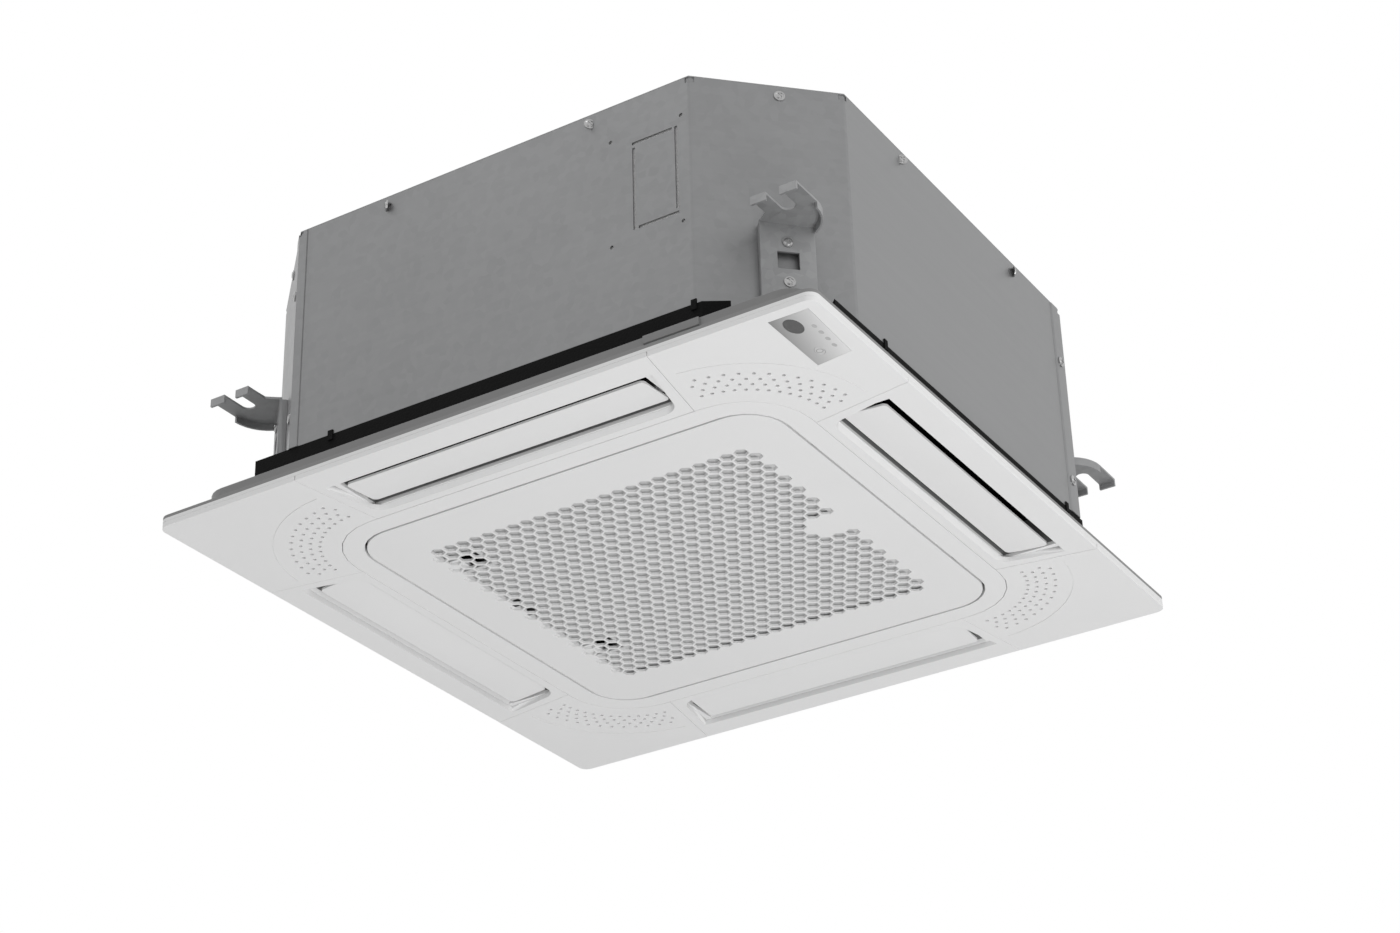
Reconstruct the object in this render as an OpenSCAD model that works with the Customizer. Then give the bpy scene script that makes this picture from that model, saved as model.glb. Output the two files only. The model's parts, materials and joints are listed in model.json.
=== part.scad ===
/* [Panel] */
// Side of the square face panel
panel_side = 620; // [610:1:640]
// Corner radius of the panel
panel_corner_r = 9; // [6:0.5:14]
// Height of the face covers, from the face to their top edge
cover_h = 4.5; // [4.2:0.1:5]
// Height of the panel's rim above the face
rim_h = 10.6; // [9:0.1:13]
// Wall of the moulded panel pieces
mould_t = 2.5; // [2:0.1:3]
// Height of the panel frame above the face
frame_h = 34.5; // [34:0.5:38]
// Wall of the panel frame
frame_wall = 3; // [2.5:0.1:3.4]
// Set-back of the frame's upstand from the panel's edge
upstand_inset = 23; // [22:0.5:25]
// Corner radius of the frame's upstand
upstand_r = 22; // [15:1:26]

/* [Face] */
// Width of the face covers, from the panel's edge to the ring round the grille
cover_w = 89; // [88:0.5:91]
// Corner radius of that ring
ring_corner_r = 61; // [50:1:66]
// Distance from the ring's side to the nearest seam
seam_set = 68; // [66:0.5:70]
// How far a seam leans outwards on its way to the panel's edge
seam_lean = 14; // [10:0.5:18]
// Gap along the seams of the face covers
seam_gap = 0.5; // [0.3:0.1:0.8]

/* [Intake grille] */
// Distance from the panel's edge to the swing-down grille
grille_border = 110.5; // [110:0.25:112]
// Corner radius of the grille
grille_corner_r = 37; // [30:1:42]
// Gap between the grille and its opening
grille_gap = 2.2; // [2:0.1:3]
// Thickness of the grille's face
grille_t = 2.5; // [2:0.1:2.8]
// Height of the grille's skirt above the face
skirt_h = 9; // [8:0.5:9.5]
// Distance between neighbouring hexagons
hex_pitch = 12.9; // [12.4:0.1:13.2]
// Wall between neighbouring hexagons
hex_wall = 1.8; // [1.4:0.1:2.4]
// Plain border at the ends of the rows of hexagons
hex_border_x = 38; // [36:0.5:38]
// Plain border before the first row of hexagons and after the last
hex_border_y = 48; // [44:0.5:53]

/* [Air outlets] */
// Distance from the panel's edge to a slot
slot_border = 24.4; // [23:0.2:26]
// Width of a slot on the face
slot_w = 56; // [55:0.2:57]
// Distance from the panel's corner to a slot's end
slot_end = 159; // [158:0.5:160]
// Radius of the slot's inner corners
slot_r = 14; // [10:1:16]
// Bevel of the slot's edge
slot_bevel = 3.5; // [2.5:0.1:4]
// Distance from a slot's end to its flap
flap_gap = 9; // [8:0.5:13]
// Distance from a slot's inner edge to the flap's pivot
pivot_in = 17.4; // [17:0.1:19]
// Height of a flap's pivot
pivot_z = 12; // [11.6:0.1:13]
// Pivot pin radius
pivot_r = 2.5; // [2:0.1:2.8]
// Running clearance of the pivots, on the radius
run_gap = 0.08; // [0.04:0.01:0.1]

/* [Casing] */
// How far the steel body stands in from the panel's edge
body_inset = 25; // [24:0.5:27]
// Length that a cut corner takes off each side of the body
corner_cut = 90; // [87:0.5:93]
// Height of the body's top above the face
body_top = 262; // [256:1:275]
// Height of the lower edge of the steel sheets
sheet_bottom = 49.5; // [48:0.5:51]
// Thickness of the steel sheet
sheet_t = 1; // [0.8:0.1:1.2]
// Width of the strip where the side sheets lap
lap_w = 17; // [14:0.5:20]
// Thickness of the foam lining
liner_t = 20; // [16:1:22]

/* [Hangers] */
// Thickness of a hanger bracket
hanger_t = 2; // [1.8:0.1:2.4]
// Width of a hanger bracket
hanger_w = 44; // [40:1:50]
// Height of a hanger's hook plate
hook_z = 125.5; // [115:0.5:140]
// Width of the slot for the suspension bolt
bolt_slot_w = 12; // [10.5:0.5:13]
// Distance from the body's left or right side in to the suspension bolts
bolt_in_x = 20; // [18:0.5:22]
// Distance from the body's front or rear side in to the suspension bolts
bolt_in_y = 25; // [23:0.5:27]

/* [Fan] */
// Space between the turbo fan and the coil round it
fan_gap = 33; // [28:0.5:40]
// Number of fan blades
blades = 7; // [5:1:9]
// Thickness of a fan blade
blade_t = 3; // [2:0.5:4]
// Space between the motor and the fan's hub round it
motor_gap = 7; // [5:0.5:12]

/* [Coil] */
// Distance from the body's side in to the coil
coil_gap = 71; // [70:0.5:74]
// Depth of the coil
coil_depth = 26; // [20:1:30]
// Outer corner radius of the coil
coil_corner_r = 45; // [40:1:55]
// Pitch of the fins drawn on the coil
fin_pitch = 10; // [9:0.5:16]
// Radius of the coil's tubes
tube_r = 3.5; // [3:0.1:4]
// Outside radius of the gas pipe
gas_r = 6.35; // [6.35:3.175:9.525]
// Outside radius of the liquid pipe
liquid_r = 3.175; // [3.175:1.5875:4.7625]
// Outside radius of the drain port
drain_r = 16; // [12:0.5:16]

/* [Hidden] */
$fn = 48;
// One overrun for every cut
over = 1;
// Slack between pieces that fit into each other
slack = 0.2;
corner_steps = 6;
half_share = 0.5;
sides = [0:3];

// Finishes
galvanised = "#87898a";
zinc = "#c8ccd0";
cover_white = "#dcdcda";
grille_white = "#d8d8d6";
frame_grey = "#8f9091";
foam_white = "#ececea";
foam_black = "#1d1d1e";
fan_white = "#e6e6e2";
copper = "#b86f45";
fin_alloy = "#c3c7ca";
motor_grey = "#3a3d40";
rubber_black = "#202020";
filter_grey = "#a9adb0";
board_green = "#2f6b45";
lens_dark = "#26282b";
silver = "#a8abae";

// Outlines that follow from the driving sizes
panel_half = panel_side / 2;
ring_half = panel_half - cover_w;
seam_in = ring_half - seam_set;
seam_out = seam_in + seam_lean;
grille_half = panel_half - grille_border;
hex_cols = floor(2 * (grille_half - hex_border_x) / hex_pitch);
hex_rows = 2 * floor(2 * (grille_half - hex_border_y) / (hex_pitch * sqrt(3))) + 1;
opening_half = grille_half + grille_gap;
opening_r = grille_corner_r + grille_gap;
body_half = panel_half - body_inset;
flat_half = body_half - corner_cut;
bolt_x = body_half - bolt_in_x;
bolt_y = body_half - bolt_in_y;
chamfer_n = (body_half + flat_half) / sqrt(2);
upstand_half = panel_half - upstand_inset;
liner_inset = 2 * sheet_t;
liner_half = body_half - liner_inset - liner_t;
far = 2 * panel_side;

// Duct of each air outlet, above the cover
plate_t = 3;
plate_top = cover_h + plate_t;
slot_out = panel_half - slot_border;
slot_in = slot_out - slot_w;
slot_half = panel_half - slot_end;
flap_half = slot_half - flap_gap;
pivot_a = slot_in + pivot_in;
duct_in = slot_in + slot_bevel;
duct_lip = 1.4;
duct_out = slot_out - duct_lip;
duct_end = 5;
duct_half = slot_half - duct_end;
duct_top = liner_half;

// Heights inside the casing
pan_top = 84;
pan_floor = 62;
sump_floor = 52;
slab_t = 15;
slab_z = body_top - sheet_t - slab_t;

// Screws of the casing
screw_r = 2;
screw_hole_r = 2.2;
screw_head_r = 4.6;
screw_head_h = 2;
screw_len = 8;
cross_w = 1;
face_screw_t = flat_half - 95;
face_screw_z = body_top - 10;
chamfer_screw_t = 10;
lap_screw_low = 82;
lap_screw_high = body_top - 60;
lap_u = (body_half - flat_half) / sqrt(2);
lap_root = 6.5;
lap_turn = 0.5;

// Hanger bracket
hanger_off = 4.6;
hanger_t0 = 9.3;
hanger_low = 40;
hanger_plate_n = chamfer_n + hanger_off;
hanger_screw_low = 73;
hanger_screw_high = 109;
hook_arc_r = 34;
lip_h = 5.5;

// Fan and its motor
eye_share = 0.73;
hub_share = 0.45;
blade_in_share = 0.67;
blade_c_share = 0.54;
blade_arc_share = 0.52;
fan_r = body_half - coil_gap - coil_depth - fan_gap;
fan_eye_r = eye_share * fan_r;
fan_low = 86;
fan_rise = 36;
fan_back_z = body_top - 58;
fan_back_t = 3;
hub_r = hub_share * fan_r;
hub_wall = 3;
hub_floor_z = body_top - 100;
hub_boss_r = 14;
hub_boss_z = body_top - 112;
shaft_r = 6;
shaft_fit = 0.08;
blade_in_r = blade_in_share * fan_r;
blade_c = blade_c_share * fan_r;
blade_arc_r = blade_arc_share * fan_r;
motor_r = hub_r - hub_wall - motor_gap;
motor_low = body_top - 82;
motor_high = body_top - 22;
ear_ring_r = motor_r + 14;
ear_r = 11;
ear_t = 4;
ear_low = body_top - 27;
bush_r = 9;
bush_neck_r = 6;
bush_over = 7;
stud_r = 3;

// Pipes, at the corner where the coil is open
coil_half = body_half - coil_gap;
coil_open = coil_half - 84;
coil_row = coil_half - 7;
coil_row_in = coil_half - 19;
end_plate_t = 1.5;
tube_low = 75;
tube_levels = 7;
tube_pitch = (slab_z - tube_low - 24) / tube_levels;
gas_z = tube_low + 6 * tube_pitch;
liquid_z = tube_low + 4 * tube_pitch;
pipe_bend_r = 13;
pipe_y = coil_half - 39;
pipe_wall = 0.8;
nut_end = panel_half - 1;

// Drain pump, in the sump at that corner
pump_x = coil_half - 42;
pump_y = coil_half - 36;
pump_r = 18;
outlet_z = 103;
float_x = coil_half - 11;
drain_pipe_r = 9;
drain_bore_r = 6;

// Grille hinge, flap bearings and display
filter_border = 41.5;
filter_half = grille_half - filter_border;
hinge_in = 19.5;
hinge_x = grille_half - hinge_in;
hinge_z = 6.2;
hinge_pin_r = 1.6;
hinge_y = filter_half - 42;
hinge_drop = 12;
link_r = 3.2;
link_w = 4;
link_head_t = 2;
link_head_w = 2;
link_head_out = 1.7;
link_top = frame_h - slack;
link_y = hinge_y + slack;
guide_t = 2;
guide_low = 5;
guide_in_low = 14;
guide_front_low = 21;
guide_slot_low = link_top - link_head_t - hinge_drop - slack;
beam_gap = 1.2;
skirt_play = 0.6;
lug_w = 4;
bearing_half = 4.5;
bolt_at = panel_half - 80;
panel_bolt_r = 2.5;

// Helpers: points of arcs, rounded squares and the cut-cornered body

function arc_points(c, r, a0, a1, n = corner_steps) =
    [for (i = [0:n]) c + r * [cos(a0 + (a1 - a0) * i / n), sin(a0 + (a1 - a0) * i / n)]];

function round_square(half, r) = concat(
    arc_points([half - r, half - r], r, 0, 90),
    arc_points([r - half, half - r], r, 90, 180),
    arc_points([r - half, r - half], r, 180, 270),
    arc_points([half - r, r - half], r, 270, 360));

function octagon(inset) =
    let (h = body_half - inset, f = sqrt(2) * (chamfer_n - inset) - h)
    [[f, -h], [h, -f], [h, f], [f, h], [-f, h], [-h, f], [-h, -f], [-f, -h]];

function oval(c, rx, ry, n = 24) = [for (i = [0:n - 1]) c + [rx * cos(360 * i / n), ry * sin(360 * i / n)]];

module slab(z0, z1) {
    translate([0, 0, z0]) linear_extrude(z1 - z0) children();
}

module block(low, high) {
    translate(low) cube(high - low);
}

// Side 0 is the front, 1 the right, 2 the rear, 3 the left: x runs along it, -y points out
module at_side(k) {
    rotate([0, 0, 90 * k]) children();
}

// Corner 0 is the front right one: x points out, y runs along the cut corner
module at_corner(k) {
    rotate([0, 0, 90 * k - 45]) children();
}

// Extrudes an outline of (distance from the centre, height) along a side
module along_side(t0, t1) {
    translate([t0, 0, 0]) rotate([90, 0, 90]) linear_extrude(t1 - t0) mirror([1, 0]) children();
}

module square_ring(half, r, wall) {
    difference() {
        polygon(round_square(half, r));
        polygon(round_square(half - wall, max(r - wall, slack)));
    }
}

module tube(r_out, r_in, len) {
    difference() {
        cylinder(r = r_out, h = len);
        translate([0, 0, -over]) cylinder(r = r_in, h = len + 2 * over);
    }
}

// Where the casing's screws go: +z points out of the sheet
module face_screws() {
    for (k = sides, s = [-1, 1]) at_side(k)
        translate([s * face_screw_t, -body_half, face_screw_z]) rotate([90, 0, 0]) children();
    for (k = sides) at_corner(k)
        translate([chamfer_n, chamfer_screw_t, face_screw_z]) rotate([0, 90, 0]) children();
}

module lap_screws() {
    for (z = [lap_screw_low, lap_screw_high]) {
        at_corner(3) translate([chamfer_n + sheet_t, lap_u - lap_w / 2, z]) rotate([0, 90, 0]) children();
        at_side(1) translate([flat_half - lap_w / 2, -body_half - sheet_t, z]) rotate([90, 0, 0]) children();
    }
}

module hanger_screws() {
    for (k = sides, z = [hanger_screw_low, hanger_screw_high]) at_corner(k)
        translate([hanger_plate_n + hanger_t, (k % 2 == 0 ? 1 : -1) * hanger_t0, z])
            rotate([0, 90, 0]) children();
}

module cover_plate_screws() {
    for (z = [pipe_plate_low + screw_head_r, pipe_plate_high - screw_head_r]) at_side(3)
        translate([-pipe_y, -body_half - sheet_t, z]) rotate([90, 0, 0]) children();
}

module screw_holes() {
    cut = screw_len + over;
    face_screws() translate([0, 0, -cut]) cylinder(r = screw_hole_r, h = 2 * cut);
    lap_screws() translate([0, 0, -cut]) cylinder(r = screw_hole_r, h = 2 * cut);
    hanger_screws() translate([0, 0, -2 * cut]) cylinder(r = screw_hole_r, h = 3 * cut);
    cover_plate_screws() translate([0, 0, -cut]) cylinder(r = screw_hole_r, h = 2 * cut);
}

module screw(len) {
    difference() {
        union() {
            translate([0, 0, -len]) cylinder(r = screw_r, h = len);
            cylinder(r = screw_head_r, h = screw_head_h / 2);
            translate([0, 0, screw_head_h / 2])
                cylinder(r1 = screw_head_r, r2 = screw_head_r * 0.7, h = screw_head_h / 2);
        }
        for (a = [0, 90]) rotate([0, 0, a])
            translate([-screw_head_r / 2, -cross_w / 2, screw_head_h / 2])
                cube([screw_head_r, cross_w, screw_head_h]);
    }
}

// Casing

bead_r = 122;
bead_w = 8;
bead_h = 2;
flange_h = 16;

module top_plate() {
    color(galvanised) difference() {
        union() {
            slab(body_top - sheet_t, body_top) polygon(octagon(0));
            slab(body_top - sheet_t - flange_h, body_top - sheet_t) difference() {
                polygon(octagon(sheet_t));
                polygon(octagon(2 * sheet_t));
            }
            slab(body_top, body_top + bead_h) {
                difference() {
                    circle(bead_r + bead_w / 2);
                    circle(bead_r - bead_w / 2);
                }
                for (k = sides) at_side(k)
                    translate([-bead_w / 2, bead_r]) square([bead_w, flat_half - bead_r]);
            }
        }
        screw_holes();
    }
}

// Strip of plan between two lines across the front right corner's direction
module across(u0, u1, v0, v1) {
    rotate([0, 0, -45]) translate([u0, v0]) square([u1 - u0, v1 - v0]);
}

module sheet_plan(out, inn) {
    difference() {
        polygon(octagon(out));
        polygon(octagon(inn));
    }
}

notch_w = 7;
notch_h = 5;

module sheet_notches() {
    for (p = octagon(0)) translate([p[0], p[1], body_top - sheet_t])
        cube([notch_w, notch_w, 2 * notch_h], center = true);
}

knock_x = flat_half - 32.75;
knock_z = body_top - 84.7;
knock_half = 19.75;
knock_bar = 18.6;
knock_high = 38.6;
knock_top = 40.15;
knock_w = 2.5;
knock_hole_r = 1.7;
knock_span_x = 66;
knock_span_z = 99.5;

// The cable knock-out of the front side: four slots like a pinwheel, with four screw holes round it
module knock_out() {
    rotate([90, 0, 0]) translate([0, 0, body_half - 2 * over]) linear_extrude(4 * over) {
        for (s = [-1, 1]) {
            translate([knock_x + s * knock_half - knock_w / 2, knock_z - knock_high + s * knock_w])
                square([knock_w, 2 * knock_high]);
            translate([knock_x - knock_bar - s * knock_w, knock_z + s * knock_top - knock_w / 2])
                square([2 * knock_bar, knock_w]);
        }
        for (s = [-1, 1], t = [-1, 1])
            translate([knock_hole_x + s * knock_span_x / 2, knock_z + t * knock_span_z / 2])
                circle(knock_hole_r);
    }
}
knock_hole_x = flat_half - 41;

module front_casing_sheet() {
    color(galvanised) difference() {
        slab(sheet_bottom, body_top - sheet_t) {
            intersection() {
                sheet_plan(0, sheet_t);
                across(lap_u + lap_turn, far, -far, far);
            }
            intersection() {
                sheet_plan(-sheet_t, 0);
                across(lap_u - lap_w, lap_u + lap_root, -far, 0);
            }
        }
        screw_holes();
        sheet_notches();
        knock_out();
    }
}

pipe_plate_low = liquid_z - 25;
pipe_plate_high = gas_z + 26;
pipe_plate_w = 38;
pipe_window_w = 32;

// The opening in the left side that the refrigerant pipes come out of
module pipe_window(out, inn, edge) {
    at_side(3) translate([-pipe_y - pipe_window_w / 2, -body_half - out, liquid_z - pipe_window_w / 2 - edge])
        cube([pipe_window_w, out + inn, gas_z - liquid_z + pipe_window_w + edge]);
}

module drain_hole(out, inn, r) {
    translate([-pump_x, body_half - inn, outlet_z]) rotate([-90, 0, 0]) cylinder(r = r, h = out + inn);
}

module rear_casing_sheet() {
    color(galvanised) difference() {
        slab(sheet_bottom, body_top - sheet_t) {
            intersection() {
                sheet_plan(0, sheet_t);
                across(-far, lap_u + lap_turn, -far, far);
            }
            intersection() {
                sheet_plan(-sheet_t, 0);
                across(lap_u - lap_root, lap_u + lap_w / sqrt(2), 0, far);
            }
        }
        screw_holes();
        sheet_notches();
        pipe_window(over, 2 * over, 0);
        drain_hole(over, 2 * over, drain_pipe_r + slack);
    }
}

module casing_screws() {
    color(zinc) {
        face_screws() screw(screw_len);
        lap_screws() screw(screw_len);
        cover_plate_screws() screw(screw_len);
        hanger_screws() screw(screw_len + hanger_off);
    }
}

module insulation_liner() {
    color(foam_white) difference() {
        slab(pan_top, body_top - sheet_t) polygon(octagon(liner_inset));
        slab(pan_top - over, slab_z) polygon(octagon(liner_inset + liner_t));
        slab(slab_z - over, body_top) circle(slab_hole_r);
        screw_holes();
        pipe_window(0, 2 * liner_t, 0);
        drain_hole(0, 2 * liner_t, drain_pipe_r + slack);
    }
}

// Hangers: the front right one, and its mirror images

hook_in_x = 9.5;

function hook_plan(n_in) =
    let (px = bolt_x, py = bolt_y,
         a0 = [n_in / sqrt(2) + (hanger_t0 - hanger_w / 2) / sqrt(2),
               -n_in / sqrt(2) + (hanger_t0 - hanger_w / 2) / sqrt(2)],
         a1 = [n_in / sqrt(2) + (hanger_t0 + hanger_w / 2) / sqrt(2),
               -n_in / sqrt(2) + (hanger_t0 + hanger_w / 2) / sqrt(2)],
         out_x = px + hook_reach, in_x = px - hook_back, end_y = -py - hook_tail,
         c = [out_x - hook_arc_r, -py + hook_arc_up])
    concat([a0, [in_x, a0[1] - hook_in_x], [in_x, end_y], [out_x, end_y]],
        arc_points(c, hook_arc_r, 0, hook_sweep), [a1]);
hook_reach = 21;
hook_back = 19.5;
hook_tail = 23.5;
hook_arc_up = 8;
hook_sweep = 62;

module hanger() {
    top = hook_z + hanger_t;
    px = bolt_x;
    py = bolt_y;
    arc_c = [px + hook_reach - hook_arc_r, hook_arc_up - py];
    color(galvanised) difference() {
        union() {
            at_corner(0) translate([hanger_plate_n, hanger_t0 - hanger_w / 2, hanger_low])
                cube([hanger_t, hanger_w, top - hanger_low]);
            at_corner(0) for (t = [hanger_t0 - hanger_w / 2, hanger_t0 + hanger_w / 2 - hanger_t])
                translate([chamfer_n, t, hanger_low])
                    cube([hanger_off + hanger_t, hanger_t, hook_z - hanger_low]);
            slab(hook_z, top) polygon(hook_plan(hanger_plate_n));
            // down-turned rim round the outer edge, and the lips at the ends of the slot
            slab(hook_z - lip_h, top) polygon(concat(
                arc_points(arc_c, hook_arc_r, 0, hook_sweep),
                arc_points(arc_c, hook_arc_r - hanger_t, hook_sweep, 0)));
            slab(hook_z - lip_h, top) translate([px - hook_back, -py - hook_tail])
                square([hook_back + hook_reach, hanger_t]);
        }
        translate([px, -py, hook_z - 2 * lip_h]) cylinder(r = bolt_slot_w / 2, h = 4 * lip_h);
        block([px - bolt_slot_w / 2, -py - hook_tail - over, hook_z - 2 * lip_h],
              [px + bolt_slot_w / 2, -py, top + over]);
        at_corner(0) {
            translate([hanger_plate_n - over, hanger_t0 - window_w / 2, window_low])
                cube([hanger_t + 2 * over, window_w, window_h]);
            for (z = [hanger_screw_low, hanger_screw_high])
                translate([hanger_plate_n - over, hanger_t0, z]) rotate([0, 90, 0])
                    cylinder(r = screw_hole_r, h = hanger_t + 2 * over);
        }
    }
}
window_w = 17.5;
window_h = 15.5;
window_low = 85;

module hanger_front_right() { hanger(); }
module hanger_front_left() { mirror([1, 0, 0]) hanger(); }
module hanger_rear_right() { mirror([0, 1, 0]) hanger(); }
module hanger_rear_left() { rotate([0, 0, 180]) hanger(); }

// Drain pan: its black edge shows below the sheets

rim_near = body_half - 84;
rim_far = body_half - 54;
hanger_notch = 38;
notch_n = chamfer_n - sheet_t;
channel_out = coil_half + 2;
channel_in = coil_half - coil_depth - 12;
pan_hole_r = fan_r - 10;
sump_in = coil_half - 64;
bell_half = pan_hole_r + 23;
bell_t = 2;
tab_t = 1.2;
tab_w = 5;
tab_z = 44;
tab_h = 9;
tab_left = 40 - flat_half;
tab_right = flat_half - 3;
tab_by_lap = flat_half - lap_w - 11;

module pan_edge_plan() {
    difference() {
        polygon([for (k = sides, p = [[rim_near, -body_half], [body_half, -rim_far]])
            [p[0] * cos(90 * k) - p[1] * sin(90 * k), p[0] * sin(90 * k) + p[1] * cos(90 * k)]]);
        for (k = sides) at_corner(k) translate([notch_n, -hanger_notch]) square([far, 2 * hanger_notch]);
    }
}

module drain_pan() {
    color(foam_black) difference() {
        union() {
            slab(frame_h, sheet_bottom) pan_edge_plan();
            slab(sheet_bottom, pan_top) polygon(octagon(sheet_t));
            for (k = sides, t = [tab_left, k == 1 ? tab_by_lap : tab_right]) at_side(k) translate([t, -body_half - tab_t, tab_z]) {
                cube([tab_w, tab_t, tab_h]);
                cube([tab_w, tab_t + mould_t, sheet_bottom - tab_z]);
            }
        }
        slab(pan_floor, pan_top + over) difference() {
            square(2 * channel_out, center = true);
            square(2 * channel_in, center = true);
        }
        block([-channel_out, sump_in, sump_floor], [-sump_in, channel_out, pan_top + over]);
        slab(0, pan_top + over) circle(pan_hole_r);
        slab(0, frame_h + bell_t) square(2 * bell_half, center = true);
        for (k = sides) at_side(k) along_side(-duct_half, duct_half)
            translate([duct_in, 0]) square([duct_top - duct_in, pan_top + over]);
        for (k = sides) at_side(k) translate([bolt_at, -bolt_at, 0])
            cylinder(r = panel_bolt_r + slack, h = sump_floor + 2 * over);
        screw_holes();
    }
}

throat_r = fan_eye_r - 5;
bell_mouth_r = pan_hole_r - 3;
bell_curve_z = 78;
bell_lap = 2.5;
bell_end_z = fan_low + bell_lap;

module bell_mouth() {
    n = 10;
    color(fan_white) union() {
        slab(frame_h, frame_h + bell_t) difference() {
            square(2 * bell_half, center = true);
            circle(bell_mouth_r);
        }
        rotate_extrude() polygon(concat(
            [for (i = [0:n]) [bell_mouth_r - (bell_mouth_r - throat_r) * sin(90 * i / n),
                              frame_h + (bell_curve_z - frame_h) * (1 - cos(90 * i / n))]],
            [[throat_r, bell_end_z], [throat_r + bell_t, bell_end_z]],
            [for (i = [n:-1:0]) [bell_mouth_r + bell_t - (bell_mouth_r - throat_r) * sin(90 * i / n),
                                 frame_h + bell_t + (bell_curve_z - frame_h - bell_t) * (1 - cos(90 * i / n))]]));
    }
}

// Coil: a ring round the fan, open at the rear left corner

comb = 3;
fin_slot = 4;

module coil_plan() {
    straight = floor((coil_half - coil_corner_r) / fin_pitch);
    difference() {
        polygon(round_square(coil_half, coil_corner_r));
        polygon(round_square(coil_half - coil_depth, coil_corner_r - coil_depth));
        translate([-far, coil_open]) square([far - coil_open, far]);
        for (k = sides, i = [-straight:straight]) at_side(k) {
            translate([i * fin_pitch - fin_slot / 2, -coil_half - over]) square([fin_slot, comb + over]);
            translate([i * fin_pitch - fin_slot / 2, coil_depth - coil_half - comb]) square([fin_slot, comb + over]);
        }
    }
}

module coil_fins() {
    color(fin_alloy) slab(pan_floor, slab_z) coil_plan();
}

// The two ends of the coil: on side 3 and, mirrored across the corner, on side 2
module coil_ends() {
    children();
    mirror([1, 1, 0]) children();
}

module end_plate_plan() {
    translate([-coil_half - end_plate_t, coil_open]) square([coil_depth + 2 * end_plate_t, end_plate_t]);
}

module coil_end_plates() {
    color(galvanised) coil_ends() slab(pan_floor, slab_z) end_plate_plan();
}

module return_bend(a, level) {
    translate([-a, coil_open + end_plate_t, tube_low + (level + half_share) * tube_pitch])
        rotate([0, -90, 0]) rotate_extrude(angle = 180)
            translate([tube_pitch / 2, 0]) circle(tube_r);
}

module coil_tubes() {
    color(copper) coil_ends() {
        for (level = [0:2:6]) return_bend(coil_row_in, level);
        for (level = [0, 2]) return_bend(coil_row, level);
    }
}

// A pipe from the coil's end round to the left side, with its union at the end
module pipe(r, z, union_r) {
    start = coil_open + end_plate_t;
    bend_y = pipe_y - pipe_bend_r;
    bend_x = -coil_row - pipe_bend_r;
    union_x = -nut_end + nut_mouth;
    color(copper) difference() {
        union() {
            translate([-coil_row, start, z]) rotate([-90, 0, 0]) cylinder(r = r, h = bend_y - start);
            translate([bend_x, bend_y, z]) rotate_extrude(angle = 90)
                translate([pipe_bend_r, 0]) circle(r);
            translate([union_x, pipe_y, z]) rotate([0, 90, 0]) cylinder(r = r, h = bend_x - union_x);
            translate([union_x, pipe_y, z]) rotate([0, 90, 0]) cylinder(r = union_r, h = union_len);
        }
        translate([union_x - over, pipe_y, z]) rotate([0, 90, 0])
            cylinder(r = r - pipe_wall, h = body_half - coil_half);
    }
}
nut_mouth = 6;
union_len = 12;
gas_union_r = 9.5;
liquid_union_r = 5.55;
union_fit = 0.05;
mouth_fit = 0.15;
nut_len = 17;
gas_nut_r = 14;
liquid_nut_r = 9.8;

module gas_pipe() { pipe(gas_r, gas_z, gas_union_r); }
module liquid_pipe() { pipe(liquid_r, liquid_z, liquid_union_r); }

module flare_nut(z, nut_r, union_r, mouth_r) {
    translate([-nut_end, pipe_y, z]) rotate([0, 90, 0]) difference() {
        cylinder(r = nut_r, h = nut_len, $fn = 6);
        translate([0, 0, nut_mouth]) cylinder(r = union_r + union_fit, h = nut_len);
        translate([0, 0, -over]) cylinder(r = mouth_r, h = nut_mouth + 2 * over);
    }
}

module flare_nuts() {
    color("#b8964f") {
        flare_nut(gas_z, gas_nut_r, gas_union_r, gas_r + mouth_fit);
        flare_nut(liquid_z, liquid_nut_r, liquid_union_r, liquid_r + mouth_fit);
    }
}

module pipe_cover_plate() {
    color(galvanised) difference() {
        at_side(3) translate([-pipe_y - pipe_plate_w / 2, -body_half - sheet_t, pipe_plate_low])
            cube([pipe_plate_w, sheet_t, pipe_plate_high - pipe_plate_low]);
        for (p = [[gas_r, gas_z], [liquid_r, liquid_z]])
            translate([-body_half - sheet_t - over, pipe_y, p[1]]) rotate([0, 90, 0])
                cylinder(r = p[0] + slack, h = sheet_t + 2 * over);
        screw_holes();
    }
}

// Drain pump, float switch and drain port

chamber_r = 12;
chamber_low = 62;
chamber_top = 94;
impeller_r = 9;
impeller_t = 3;
pump_can_r = 15;
pump_top = 160;
volute_h = 16;
pump_shaft_r = 2;
leg_w = 4;

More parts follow.
